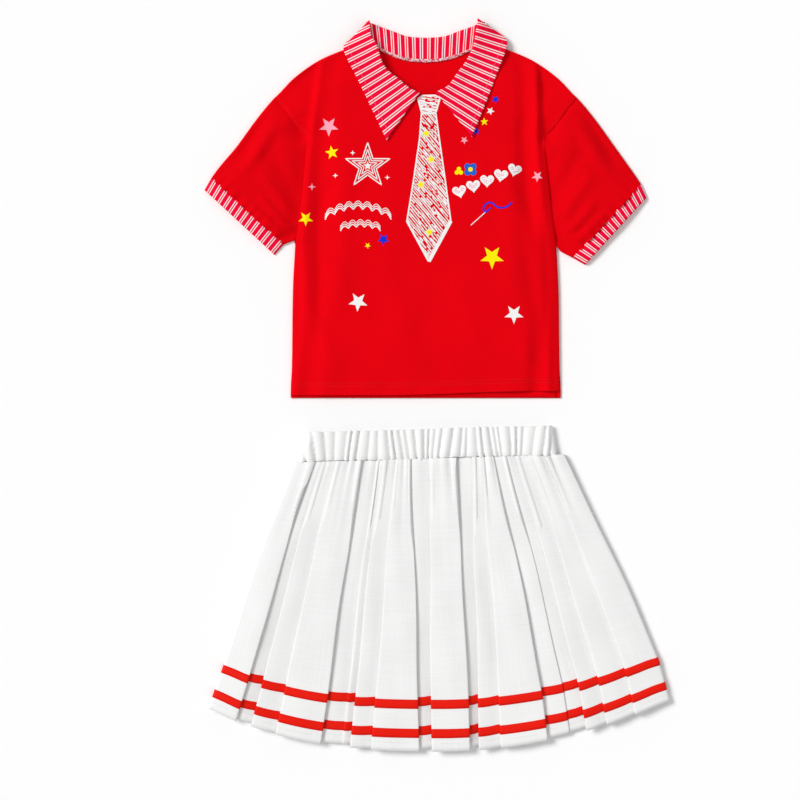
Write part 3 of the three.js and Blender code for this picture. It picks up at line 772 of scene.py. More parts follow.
def jersey_material(name, colour):
    """Matt knitted jersey."""
    material, tree, shader, place = start_material(name, 0.0, 0.03)
    knit = put_group(tree, "knit", Vector=place.outputs["Object"], Loops_per_metre=850.0)
    # The knit's painted shade darkens the colour between the loops.
    worn = put_group(tree, "worn_cloth", Vector=place.outputs["Object"], Colour=colour4(colour),
                     Shade=knit.outputs["Shade"], Change=0.16, Roughness=0.84)
    height = math_out(tree, "ADD", knit.outputs["Height"],
                      math_out(tree, "MULTIPLY", worn.outputs["Height"], 1.4))
    finish_material(tree, shader, worn, height, 0.4, 0.45)
    return material


def striped_material(colours, sizes):
    """Woven collar cloth with pairs of raised light lines."""
    material, tree, shader, place = start_material("striped_cloth", 0.02, 0.08)
    parts = tree.nodes.new("ShaderNodeSeparateXYZ")
    tree.links.new(place.outputs["UV"], parts.inputs[0])
    lines = put_group(tree, "double_lines", Along=parts.outputs[0], Pitch=sizes.stripe_pitch * MM)
    weave = put_group(tree, "weave", Vector=place.outputs["UV"], Threads_per_metre=1400.0, Slub=0.35)
    mix = tree.nodes.new("ShaderNodeMix")
    mix.data_type = "RGBA"
    mix.inputs[6].default_value = colour4(colours.crimson)
    mix.inputs[7].default_value = colour4(colours.stripe)
    tree.links.new(lines.outputs["Mask"], mix.inputs[0])
    worn = put_group(tree, "worn_cloth", Vector=place.outputs["Object"], Colour=mix.outputs[2],
                     Shade=weave.outputs["Shade"], Change=0.12, Roughness=0.8)
    raised = math_out(tree, "MULTIPLY_ADD", lines.outputs["Mask"], 0.35, weave.outputs["Height"])
    finish_material(tree, shader, worn, raised, 0.35, 0.35)
    return material


def tape_material():
    """Overlocked edge: white looped thread with specks of the pink cloth showing between the loops."""
    material, tree, shader, place = start_material("overlock_thread", 0.1)
    parts = tree.nodes.new("ShaderNodeSeparateXYZ")
    tree.links.new(place.outputs["UV"], parts.inputs[0])
    zigzag = math_out(tree, "PINGPONG", parts.outputs[0], 0.0011)
    lean = math_out(tree, "MULTIPLY_ADD", zigzag, 1.4, parts.outputs[1])
    thread = ribs(tree, lean, 3400.0)
    mix = tree.nodes.new("ShaderNodeMix")
    mix.data_type = "RGBA"
    mix.inputs[6].default_value = (0.70, 0.03, 0.10, 1)
    mix.inputs[7].default_value = (0.88, 0.78, 0.77, 1)
    speck = noise_node(tree, place.outputs["Object"], 380.0, 1.0, 0.5)
    patches = math_out(tree, "MULTIPLY_ADD", speck, 5.0, -2.3)
    tree.links.new(math_out(tree, "MULTIPLY_ADD", thread, 0.5, patches), mix.inputs[0])
    worn = put_group(tree, "worn_cloth", Vector=place.outputs["Object"], Colour=mix.outputs[2], Shade=1.0,
                     Change=0.3, Roughness=0.8)
    finish_material(tree, shader, worn, thread, 0.5, 0.4)
    return material


def skirt_material(colours):
    """White woven cloth with slubs."""
    material, tree, shader, place = start_material("pleated_cloth", 0.05, 0.2)
    weave = put_group(tree, "weave", Vector=place.outputs["UV"], Threads_per_metre=900.0, Slub=0.75)
    worn = put_group(tree, "worn_cloth", Vector=place.outputs["Object"], Colour=colour4(colours.skirt),
                     Shade=weave.outputs["Shade"], Change=0.05, Roughness=0.82)
    height = math_out(tree, "ADD", weave.outputs["Height"],
                      math_out(tree, "MULTIPLY", worn.outputs["Height"], 1.2))
    finish_material(tree, shader, worn, height, 0.3, 0.4)
    return material


def ribbon_material(colours):
    """Satin: long floats along the ribbon, with a soft gloss."""
    material, tree, shader, place = start_material("satin_ribbon", 0.0, 0.12)
    rib = noise_node(tree, stretched(tree, place.outputs["UV"], (60, 2600, 1)), 1.0, 3.0, 0.6)
    weave = put_group(tree, "weave", Vector=place.outputs["UV"], Threads_per_metre=2200.0, Slub=0.2)
    shade = math_out(tree, "MULTIPLY_ADD", rib, 0.1,
                     math_out(tree, "SUBTRACT", weave.outputs["Shade"], 0.05))
    worn = put_group(tree, "worn_cloth", Vector=place.outputs["Object"], Colour=colour4(colours.ribbon),
                     Shade=shade, Change=0.08, Roughness=0.52)
    finish_material(tree, shader, worn, math_out(tree, "ADD", rib, weave.outputs["Height"]), 0.3, 0.25)
    return material


def elastic_material():
    """Braided elastic: cords side by side along the band."""
    material, tree, shader, place = start_material("braided_elastic", 0.05)
    parts = tree.nodes.new("ShaderNodeSeparateXYZ")
    tree.links.new(place.outputs["UV"], parts.inputs[0])
    cord = ribs(tree, parts.outputs[1], 1500.0)
    braid = ribs(tree, parts.outputs[0], 2600.0)
    height = math_out(tree, "MULTIPLY_ADD", braid, 0.4, cord)
    # Painted shade: the colour is darker between the cords and lighter on them.
    worn = put_group(tree, "worn_cloth", Vector=place.outputs["Object"], Colour=(0.76, 0.75, 0.71, 1.0),
                     Shade=math_out(tree, "MULTIPLY_ADD", cord, 0.12, 0.88), Change=0.06, Roughness=0.75)
    finish_material(tree, shader, worn, height, 0.6, 0.4)
    return material


def film_material(name, colour):
    """Printed film: the knit shows through it a little, and it is slightly glossier than the cloth."""
    material, tree, shader, place = start_material(name, 0.0, 0.08)
    knit = put_group(tree, "knit", Vector=place.outputs["Object"], Loops_per_metre=850.0)
    crackle = noise_node(tree, place.outputs["Object"], 260.0, 4.0, 0.65)
    # The knit's painted shade between the loops shows through the film.
    shade = math_out(tree, "MULTIPLY_ADD", crackle, 0.1,
                     math_out(tree, "SUBTRACT", knit.outputs["Shade"], 0.02))
    worn = put_group(tree, "worn_cloth", Vector=place.outputs["Object"], Colour=colour4(colour),
                     Shade=shade,
                     Change=0.1, Roughness=0.6)
    height = math_out(tree, "MULTIPLY_ADD", crackle, 0.5, knit.outputs["Height"])
    finish_material(tree, shader, worn, height, 0.25, 0.3)
    return material


def thread_material(name, colour):
    """Sewing thread: two plies twisted round each other."""
    material, tree, shader, place = start_material(name, 0.1)
    twist = noise_node(tree, place.outputs["Object"], 1600.0, 2.0, 0.5)
    worn = put_group(tree, "worn_cloth", Vector=place.outputs["Object"], Colour=colour4(colour),
                     Shade=math_out(tree, "MULTIPLY_ADD", twist, 0.3, 0.85), Change=0.1, Roughness=0.7)
    finish_material(tree, shader, worn, twist, 0.5, 0.2)
    return material


MATERIALS = {}

# The sleeves' jersey is a darker copy of the body's: painted shade, for the shade that the sleeves lie in.
SLEEVE_PAINTED_SHADE = 0.96


def build_materials(colours, sizes):
    """Build the shared groups once, then every material from them."""
    GROUPS.update(knit=build_knit(), weave=build_weave(), worn_cloth=build_worn(),
                  double_lines=build_stripes())
    MATERIALS.update(
        jersey=jersey_material("jersey_knit", colours.jersey),
        # Painted shade: the sleeves' material is the jersey colour darkened by a constant.
        sleeve=jersey_material("sleeve_knit_painted_shade", [v * SLEEVE_PAINTED_SHADE for v in colours.jersey]),
        striped=striped_material(colours, sizes), tape=tape_material(),
        skirt=skirt_material(colours), ribbon=ribbon_material(colours), elastic=elastic_material(),
        white=film_material("white_film", colours.white_film),
        yellow=film_material("yellow_film", colours.yellow_film),
        pink=film_material("pink_film", colours.pink_film),
        blue=film_material("blue_film", colours.blue_film),
        sky=film_material("light_blue_film", colours.sky_film),
        red_thread=thread_material("red_thread", [0.6, 0.001, 0.006]),
        rose_thread=thread_material("rose_thread", [0.86, 0.22, 0.3]),
        white_thread=thread_material("white_thread", [0.72, 0.72, 0.71]),
        ribbon_thread=thread_material("ribbon_thread", [0.6, 0.006, 0.001]))


# ---------------------------------------------------------------- the top

def ground_uv(x, y):
    """Cloth coordinates for a sheet that lies flat: its places in plan."""
    return np.column_stack([x, y])


def in_metres(*values):
    """Millimetres turned to metres."""
    return tuple(v * MM for v in values)


def side_name(side):
    """right for 1, left for -1."""
    return "right" if side > 0 else "left"


def hinge_blend(side, a, b, near, far, z):
    """Where a blend starts and ends, square to a hinge line through two points on the right-hand side."""
    ax, ay = a
    dx, dy = b[0] - ax, b[1] - ay
    run = math.hypot(dx, dy)
    nx, ny = dy / run, -dx / run
    middle = (ax + dx / 2, ay + dy / 2)
    ends = []
    for reach in (near, far):
        x, y = middle[0] + nx * reach, middle[1] + ny * reach
        ends.append(in_metres(x * side + TOP_AT[0], y + TOP_AT[1], z))
    return ends


def film(name, outlines, colour, sizes, lift=None, strips=None):
    """A print: filled outlines, or strips, that follow the shirt's front."""
    rise = sizes.film_lift if lift is None else lift

    def height(x, y):
        return front_height(x, y, sizes) + rise

    verts, faces = [], []
    for outline in outlines:
        points, tris = filled(np.asarray(outline), 2.4, ())
        z = height(points[:, 0], points[:, 1])
        start = sum(len(v) for v in verts)
        faces += [tuple(i + start for i in f) for f in upward(points, tris)]
        verts.append(np.column_stack([points, z]))
    if strips:
        table, quads = strip_piece(strips[0], strips[1], height)
        start = sum(len(v) for v in verts)
        faces += [tuple(i + start for i in f) for f in upward(table, quads)]
        verts.append(table)
    table = np.vstack(verts)
    piece = make_piece(name, table, faces, TOP_AT, table[:, :2], MATERIALS[colour])
    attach(piece, "top")
    return piece


def star(x, y, radius, turn=0.0, points=5, waist=0.42):
    """Outline of a star with one point up before its turn in degrees."""
    out = []
    for k in range(points * 2):
        reach = radius if k % 2 == 0 else radius * waist
        angle = math.radians(90 + turn + 180 * k / points)
        out.append((x + reach * math.cos(angle), y + reach * math.sin(angle)))
    return line(out + out[:1], 2.4)[:-1]


def closed(points):
    """The same points with the first one again at the end."""
    return list(points) + [points[0]]


def heart(x, y, radius, tilt=0.0):
    """Outline of a plump heart."""
    out = []
    for t in np.linspace(0, 2 * math.pi, 36, endpoint=False):
        hx = 16 * math.sin(t) ** 3
        hy = 13 * math.cos(t) - 5 * math.cos(2 * t) - 2 * math.cos(3 * t) - math.cos(4 * t)
        hx, hy = hx * radius / 17, (hy + 2) * radius / 17
        out.append((x + hx * math.cos(tilt) - hy * math.sin(tilt),
                    y + hx * math.sin(tilt) + hy * math.cos(tilt)))
    return np.array(out)


def disc(x, y, radius, count=20):
    """Outline of a round dot."""
    angles = np.linspace(0, 2 * math.pi, count, endpoint=False)
    return np.column_stack([x + radius * np.cos(angles), y + radius * np.sin(angles)])


def hatching(outline, angle, pitch, width, seed, gap=0.12, inset=1.0):
    """Short pen strokes at an angle inside an outline. Gives paths and widths."""
    outline = np.asarray(outline)
    local = random.Random(seed)
    middle = outline.mean(axis=0)
    reach = np.linalg.norm(outline - middle, axis=1).max() + 4
    along = np.array([math.cos(math.radians(angle)), math.sin(math.radians(angle))])
    across = np.array([-along[1], along[0]])
    loop = np.vstack([outline, outline[:1]])
    paths, widths = [], []
    offset = -reach
    while offset < reach:
        offset += pitch * local.uniform(0.75, 1.25)
        wobble = local.uniform(0, 6.28)
        steps = np.arange(-reach, reach, 1.6)
        spots = middle + across * offset + along * steps[:, None] \
            + across * (0.35 * np.sin(steps / 9 + wobble))[:, None]
        clear = distance(spots[:, 0], spots[:, 1], loop) > inset
        good = clear & inside(spots[:, 0], spots[:, 1], outline)
        run = []
        for spot, ok in zip(spots, good):
            if ok and local.random() > gap * 0.35:
                run.append(tuple(spot))
                continue
            if len(run) > 2:
                paths.append(run)
                widths.append(width * local.uniform(0.6, 1.2))
            run = []
        if len(run) > 2:
            paths.append(run)
            widths.append(width * local.uniform(0.6, 1.2))
    return paths, widths


# The stage, in metres: the camera's height and place, the width that it sees at half the cloth's height,
# the floor's half size and its place just under the cloth.
CAMERA_HEIGHT = 4.0
CAMERA_PLACE = (-0.0485, -0.0156)
MIDDLE_HEIGHT = 0.01
FIELD_WIDTH = 1.04
FLOOR_HALF = 4.0
FLOOR_Z = -0.0006

# Each lamp's strength, its turn in radians and its spread in degrees.
LAMPS = [("key", 2.25, (-0.32, -0.74, 0), 24), ("fill", 0.26, (0.5, 0.5, 0), 90)]
ROOM_LIGHT = 0.455


class UNIFORM_OT_stage(bpy.types.Operator):
    """Pale floor, soft light from above and to one side, and a camera looking straight down"""
    bl_idname = "uniform.stage"
    bl_label = "Stage"

    def execute(self, context):
        scene = context.scene
        scene.view_settings.view_transform = "Standard"
        camera_data = bpy.data.cameras.new("camera")
        camera_data.sensor_width = 36
        camera_data.lens = camera_data.sensor_width * (CAMERA_HEIGHT - MIDDLE_HEIGHT) / FIELD_WIDTH
        camera = bpy.data.objects.new("camera", camera_data)
        camera.location = (*CAMERA_PLACE, CAMERA_HEIGHT)
        scene.collection.objects.link(camera)
        scene.camera = camera
        world = bpy.data.worlds.new("studio")
        world.use_nodes = True
        background = world.node_tree.nodes["Background"]
        background.inputs["Color"].default_value = (1.0, 1.0, 1.0, 1.0)
        background.inputs["Strength"].default_value = ROOM_LIGHT
        scene.world = world
        for name, strength, turn, spread in LAMPS:
            data = bpy.data.lights.new(name, "SUN")
            data.energy = strength
            data.angle = math.radians(spread)
            lamp = bpy.data.objects.new(name, data)
            lamp.rotation_euler = turn
            scene.collection.objects.link(lamp)
        signs = ((-1, -1), (1, -1), (1, 1), (-1, 1))
        corners = [(x * FLOOR_HALF, y * FLOOR_HALF, FLOOR_Z) for x, y in signs]
        mesh = bpy.data.meshes.new("floor")
        mesh.from_pydata(corners, [], [(0, 1, 2, 3)])
        floor = bpy.data.objects.new("floor", mesh)
        scene.collection.objects.link(floor)
        material = bpy.data.materials.new("floor_paper")
        material.use_nodes = True
        shader = material.node_tree.nodes["Principled BSDF"]
        shader.inputs["Base Color"].default_value = (0.97, 0.97, 0.97, 1)
        shader.inputs["Roughness"].default_value = 0.9
        shader.inputs["Specular IOR Level"].default_value = 0.1
        mesh.materials.append(material)
        return {"FINISHED"}


class UNIFORM_OT_body(bpy.types.Operator):
    """Front and back of the top, with the turned hems and their stitching"""
    bl_idname = "uniform.body"
    bl_label = "Shirt body"

    def execute(self, context):
        sizes = context.scene.uniform_sizes
        points, tris = filled(FRONT_OUTLINE)
        z = front_height(points[:, 0], points[:, 1], sizes)
        front = make_piece("shirt_front_cloth", np.column_stack([points, z]), upward(points, tris), TOP_AT,
                           ground_uv, MATERIALS["jersey"])
        thicken(front, sizes.ply)
        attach(front, "top")
        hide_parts("shirt_front")

        points, tris = filled(BACK_OUTLINE, 4.5)
        z = back_height(points[:, 0], points[:, 1])
        back = make_piece("shirt_back_cloth", np.column_stack([points, z]), upward(points, tris), TOP_AT,
                          ground_uv, MATERIALS["jersey"], flip=True)
        thicken(back, sizes.ply)
        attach(back, "top")
        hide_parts("shirt_back")

        def front_hem(x, y):
            return front_height(x, y, sizes) - sizes.ply - 0.1

        def back_hem(x, y):
            return back_height(x, y) + sizes.ply + 0.1

        turns = (("front_hem_turn", "shirt_front_hem", 0.6, front_hem, False),
                 ("back_hem_turn", "shirt_back_hem", 0.6 - BACK_HEM_DROP, back_hem, True))
        for name, node, y0, height, flip in turns:
            across = np.linspace(-HEM_HALF + 4, HEM_HALF - 4, 96)
            up = np.linspace(y0, y0 + HEM_TURN, 6)
            x, y = np.meshgrid(across, up)
            x, y = x.ravel(), y.ravel()
            if not flip:
                y = y + hem_tilt(x, y)
            table = np.column_stack([x, y, height(x, y)])
            hem = make_piece(name, table, grid_faces(6, 96), TOP_AT, table[:, :2], MATERIALS["jersey"],
                             flip=flip)
            thicken(hem, sizes.ply * 0.8)
            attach(hem, "top")
            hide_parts(node)

        def on_hem(x, y):
            return front_height(x, y, sizes) - 0.05

        def on_armhole(x, y):
            return front_height(x, y, sizes) - 0.08

        seam = line([(-HEM_HALF + 2.5, HEM_TURN - 2), (HEM_HALF - 2.5, HEM_TURN - 2)])
        seam[:, 1] += hem_tilt(seam[:, 0], seam[:, 1])
        stitches("front_hem_stitches", seam, on_hem, TOP_AT, MATERIALS["red_thread"], "top")
        stitches("front_hem_stitches_2", seam - (0, 4), on_hem, TOP_AT, MATERIALS["red_thread"], "top")
        for side in (1, -1):
            inner = (ARMHOLE_CHAIN + (-2.2, 1.9)) * (side, 1)
            stitches(f"armhole_stitches_{side_name(side)}", inner, on_armhole, TOP_AT,
                     MATERIALS["red_thread"], "top")
        return {"FINISHED"}


class UNIFORM_OT_sleeves(bpy.types.Operator):
    """Both sleeves, which come out from under the side folds, and their striped cuffs"""
    bl_idname = "uniform.sleeves"
    bl_label = "Sleeves and cuffs"

    def execute(self, context):
        sizes = context.scene.uniform_sizes
        points, tris = filled(SLEEVE_OUTLINE, 3.2)
        for side in (1, -1):
            name = side_name(side)
            upper, lower = sleeve_heights(points[:, 0], points[:, 1], side, sizes)
            flat = (points + cuff_shift(points, name)) * (side, 1)
            table = np.vstack([np.column_stack([flat, upper]), np.column_stack([flat, lower])])
            up = upward(flat, tris)
            down = [tuple(i + len(points) for i in reversed(f)) for f in up]
            sleeve = make_piece(f"sleeve_{name}_cloth", table, up + down, TOP_AT, table[:, :2],
                                MATERIALS["sleeve"], merge=True)
            thicken(sleeve, sizes.ply * 0.8)
            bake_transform(sleeve)
            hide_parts(f"sleeve_{name}")
            self.cuff(side, name)
        return {"FINISHED"}

    def cuff(self, side, name):
        """One cuff: a flattened ring of folded cloth, sewn round the sleeve's end."""
        columns, rows = 44, 7
        outer, inner = np.array(CUFF_ENDS[name])
        outer_lean, inner_lean = np.array(CUFF_LEAN[name])
        seam_run = float(np.hypot(*(outer - inner)))
        ring = []
        for row in np.linspace(-1.5, CUFF_DEPTH, rows):
            top, under = [], []
            for run in np.linspace(0, seam_run, columns):
                edge = min(run, seam_run - run)
                share = run / seam_run
                lean = inner_lean * (1 - share) + outer_lean * share
                x, y = inner + (outer - inner) * share + lean * row * 1.06
                lift = 2.6 + 2.6 * roll(edge / 4) + 2.4 * smooth(edge / 30) - 0.8 * smooth(row / CUFF_DEPTH)
                lift += 0.5 * math.sin(run / 11 + side) - 0.7 * math.exp(-(row / 1.6) ** 2)
                top.append((x * side, y, float(lift)))
                under.append((x * side, y, float(2.6 - 2.2 * roll(edge / 4))))
            ring.append(top + under[::-1][1:-1])
        count = len(ring[0])
        table = np.array([spot for loop in ring for spot in loop])
        runs = np.linspace(0, seam_run, columns)
        around = np.concatenate([runs, seam_run + runs[1:-1]])
        uv = np.array([(around[c] * side, row * 2.6) for row in range(rows) for c in range(count)])
        cuff = make_piece(f"cuff_{name}_cloth", table, grid_faces(rows, count, True), TOP_AT, uv,
                          MATERIALS["striped"], flip=side > 0)
        thicken(cuff, 1.4)
        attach(cuff, f"sleeve_{name}")
        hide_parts(f"cuff_{name}")


# The far centre that each leaf's stripes fan out from, and its distance from the leaf.
STRIPE_FAN = {"left": (-293, 630, 415), "right": (-256, 563, 350)}


def stripe_uv(x, y, name):
    """Stripes that run square to the leaf's outer edge and fan out slowly."""
    centre_x, centre_y, reach = STRIPE_FAN[name]
    across, up = np.abs(x) - centre_x, y - centre_y
    return np.column_stack([np.arctan2(-up, across) * reach, np.hypot(across, up)])


class UNIFORM_OT_collar(bpy.types.Operator):
    """The two collar leaves, the band round the back of the neck and the tape along its foot"""
    bl_idname = "uniform.collar"
    bl_label = "Collar"

    def execute(self, context):
        sizes = context.scene.uniform_sizes
        for side in (1, -1):
            self.leaf(side, side_name(side), sizes)
        self.band()
        return {"FINISHED"}

    def leaf(self, side, name, sizes):
        """One leaf with the collar beside it: a sheet from under the roll line out to the leaf's edge."""
        rows, columns = 66, 26
        inner = resampled(curve(ROLL[name]), rows)
        outer = resampled(curve(LEAF_EDGE[name]), rows)
        share = np.linspace(0, 1, columns)
        flat = inner[:, None, :] * (1 - share)[None, :, None] + outer[:, None, :] * share[None, :, None]
        width = np.linalg.norm(outer - inner, axis=1)[:, None] * share[None, :]
        length = np.linspace(0, 1, rows)[:, None]
        on_shirt = inside(flat[..., 0], flat[..., 1], FRONT_OUTLINE)
        ground = np.where(on_shirt, front_height(flat[..., 0] * side, flat[..., 1], sizes), 0)
        rolled = 16.2 - 1.6 * length
        outer_z = np.where(length < 0.2, 7.5 + 6 * smooth(length / 0.2), 13.5 - 1.0 * length)
        at_roll = 1 - smooth(share[None, :] / 0.75)
        z = outer_z + (rolled - outer_z) * at_roll + 1.3 * np.exp(-(width / 7) ** 2)
        z = np.maximum(z, ground + 2.2 + 1.4 * smooth((length - 0.4) / 0.5))
        z += 0.35 * np.sin(length * 19 + 2 * share[None, :]) * smooth(width / 10)
        sheet = np.concatenate([flat, z[..., None]], axis=2)
        away = (inner - outer) / np.maximum(np.linalg.norm(inner - outer, axis=1, keepdims=True), 1e-9)
        fall = []
        for out, drop in ((-1.0, 10.5), (0.2, 7.5), (1.1, 4.5), (1.5, 2.2), (1.1, 0.8), (0.6, 0.2)):
            fade = smooth(np.minimum(1, (1 - length[:, 0]) * 6))
            column = np.concatenate([inner + away * out, (z[:, :1] - drop * (0.3 + 0.7 * fade[:, None]))],
                                    axis=1)
            fall.append(column[:, None, :])
        sheet = np.concatenate(fall + [sheet], axis=1)
        sheet[..., 0] *= side
        table = sheet.reshape(-1, 3)
        leaf = make_piece(f"collar_leaf_{name}_cloth", table, grid_faces(rows, columns + len(fall)), TOP_AT,
                          stripe_uv(table[:, 0], table[:, 1], name), MATERIALS["striped"], flip=side < 0)
        face_up(leaf)
        thicken(leaf, 1.6)
        blend = ["top", f"leaf_{name}"] + hinge_blend(side, LEAF_HINGE[1], LEAF_HINGE[0], 14, 40, 15)
        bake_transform(leaf)
        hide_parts(f"collar_leaf_{name}_upper", f"collar_leaf_{name}_under", f"collar_side_{name}")

        edge = sheet[:, -1, :2]
        inward = sheet[:, -8, :2] - edge
        inward /= np.maximum(np.linalg.norm(inward, axis=1, keepdims=True), 1e-9)
        margin = 7.5
        path = (edge + inward * margin)[4:-3]
        from_edge = width[:, -1:] - width[:, ::-1]
        heights = np.array([np.interp(margin, from_edge[r], z[r, ::-1]) for r in range(rows)])[4:-3]

        def on_leaf(x, y):
            near = np.argmin(np.hypot(path[:, 0] - x[:, None], path[:, 1] - y[:, None]), axis=1)
            return heights[near]

        stitches(f"leaf_stitches_{name}", path, on_leaf, TOP_AT, MATERIALS["rose_thread"], None,
                 blend=blend)

    def band(self):
        """The stand and fall round the back of the neck, with the overlocked tape along the foot."""
        rows = 90
        foot_half, roll_half = curve(BAND_FOOT), curve(BAND_ROLL)
        foot = resampled(joined((foot_half * (-1, 1)), foot_half[::-1]), rows)
        top = resampled(joined((roll_half * (-1, 1)), roll_half[::-1]), rows)
        columns = []
        for share, z in ((-0.04, 4.0), (0.0, 4.3), (0.2, 4.7), (0.4, 5.2), (0.6, 5.8), (0.8, 6.2),
                         (0.93, 6.1)):
            columns.append((foot + (top - foot) * share, z))
        away = (top - foot) / np.linalg.norm(top - foot, axis=1, keepdims=True)
        for out, z in ((0.3, 5.4), (0.9, 4.0), (0.9, 2.2), (0.2, 1.2), (-1.5, 0.7), (-5, 0.35), (-10, 0.3),
                       (-FALL_DROP, 0.3)):
            columns.append((top + away * out, z))
        sheet = np.stack([np.column_stack([flat, np.full(rows, z)]) for flat, z in columns], axis=1)
        sheet[:, 2:6, 2] += 0.35 * np.sin(np.linspace(0, 26, rows))[:, None]
        middle = (foot + top) / 2
        run = np.concatenate([[0], np.cumsum(np.linalg.norm(np.diff(middle, axis=0), axis=1))])
        down = np.arange(len(columns)) * 4.0
        uv = np.stack(np.broadcast_arrays(run[:, None], down[None, :]), axis=2).reshape(-1, 2)
        band = make_piece("collar_back_cloth", sheet.reshape(-1, 3), grid_faces(rows, len(columns)),
                          TOP_AT, uv,
                          MATERIALS["striped"])
        face_up(band)
        thicken(band, 0.5)
        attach(band, "top")
        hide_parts("collar_back_stand", "collar_back_fall")
        tape_columns = []
        inward = away * -1
        for out, z in ((-2.8, 5.2), (-2.0, 5.5), (-0.8, 5.3), (0.6, 4.7), (1.3, 3.9)):
            tape_columns.append(np.column_stack([foot + inward * out, np.full(rows, z)]))
        sheet = np.stack(tape_columns, axis=1)
        uv = np.stack(np.broadcast_arrays(run[:, None], np.arange(5)[None, :] * 1.2), axis=2).reshape(-1, 2)
        tape = make_piece("neck_tape_thread", sheet.reshape(-1, 3), grid_faces(rows, 5), TOP_AT, uv,
                          MATERIALS["tape"])
        face_up(tape)
        thicken(tape, 0.5)
        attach(tape, "top")
        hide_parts("neck_tape")


# Each star and sparkle: its film, its place, its radius, and a star's turn in degrees.
STARS = {
    "star_print_pink_shoulder": ("pink", -126, 352, 13, 180),
    "star_print_yellow_shoulder": ("yellow", -122, 318, 9.2, 10),
    "star_print_yellow_side": ("yellow", -156, 232, 10, 180),
    "star_print_blue_left": ("blue", -55, 205, 8.3, 176),
    "star_print_yellow_tiny": ("yellow", -75.5, 197, 4.2, 184),
    "star_print_white_left": ("white", -88, 124, 13, 176),
    "star_print_yellow_large": ("yellow", 86, 182, 16, 180),
    "star_print_white_right": ("white", 114.5, 108, 13, 180),
    "star_print_blue_upper": ("blue", 90.5, 387, 5.5, 186),
    "star_print_white_upper": ("white", 84, 372, 5.5, 190),
    "star_print_yellow_upper": ("yellow", 76, 358, 5.5, 4),
    "star_print_blue_lower": ("blue", 65.5, 345.5, 5.3, 4),
    "star_print_pink_tip": ("pink", 50, 334, 5.3, 184),
    "star_print_pink_side": ("pink", 145, 287, 7.5, 176),
}
SPARKLES = {
    "sparkle_print_upper": ("white", -95, 317.5, 3.4), "sparkle_print_left": ("white", -117.5, 288, 3.4),
    "sparkle_print_right": ("white", -50, 285.5, 3.4), "sparkle_print_pink": ("pink", -148, 273.5, 5),
}

# The drawn tie, outlined from its own centre line, which lies TIE_X beside the top's.
TIE_X = 4
TIE_KNOT = [(-14, 388), (-8, 392), (8, 392.5), (14.5, 389), (9, 370), (-9.5, 370)]
TIE_BLADE = [(9, 369), (13.5, 336), (19.5, 294), (28.5, 229), (0, 176.5), (-28.5, 229), (-20.5, 278),
             (-12, 336), (-9.5, 369)]
TIE_STARS = [(0.5, 342.5), (7, 309), (-6.5, 276), (5, 214.5)]

# The outlined star's place and radius.
BIG_STAR = (-75.5, 300.5, 32)
# Each row of scallops: its ends, its height, how far it bows up, the count of scallops and their depth.
SCALLOPS = [(-131, -45, 231, 13, 7, 5.5), (-111, -59, 216, 5, 5, 4.2)]

# Each heart's place and radius.
HEARTS = [(44 + 17.8 * k, 266.5 + 7 * k, 9.7) for k in range(5)]


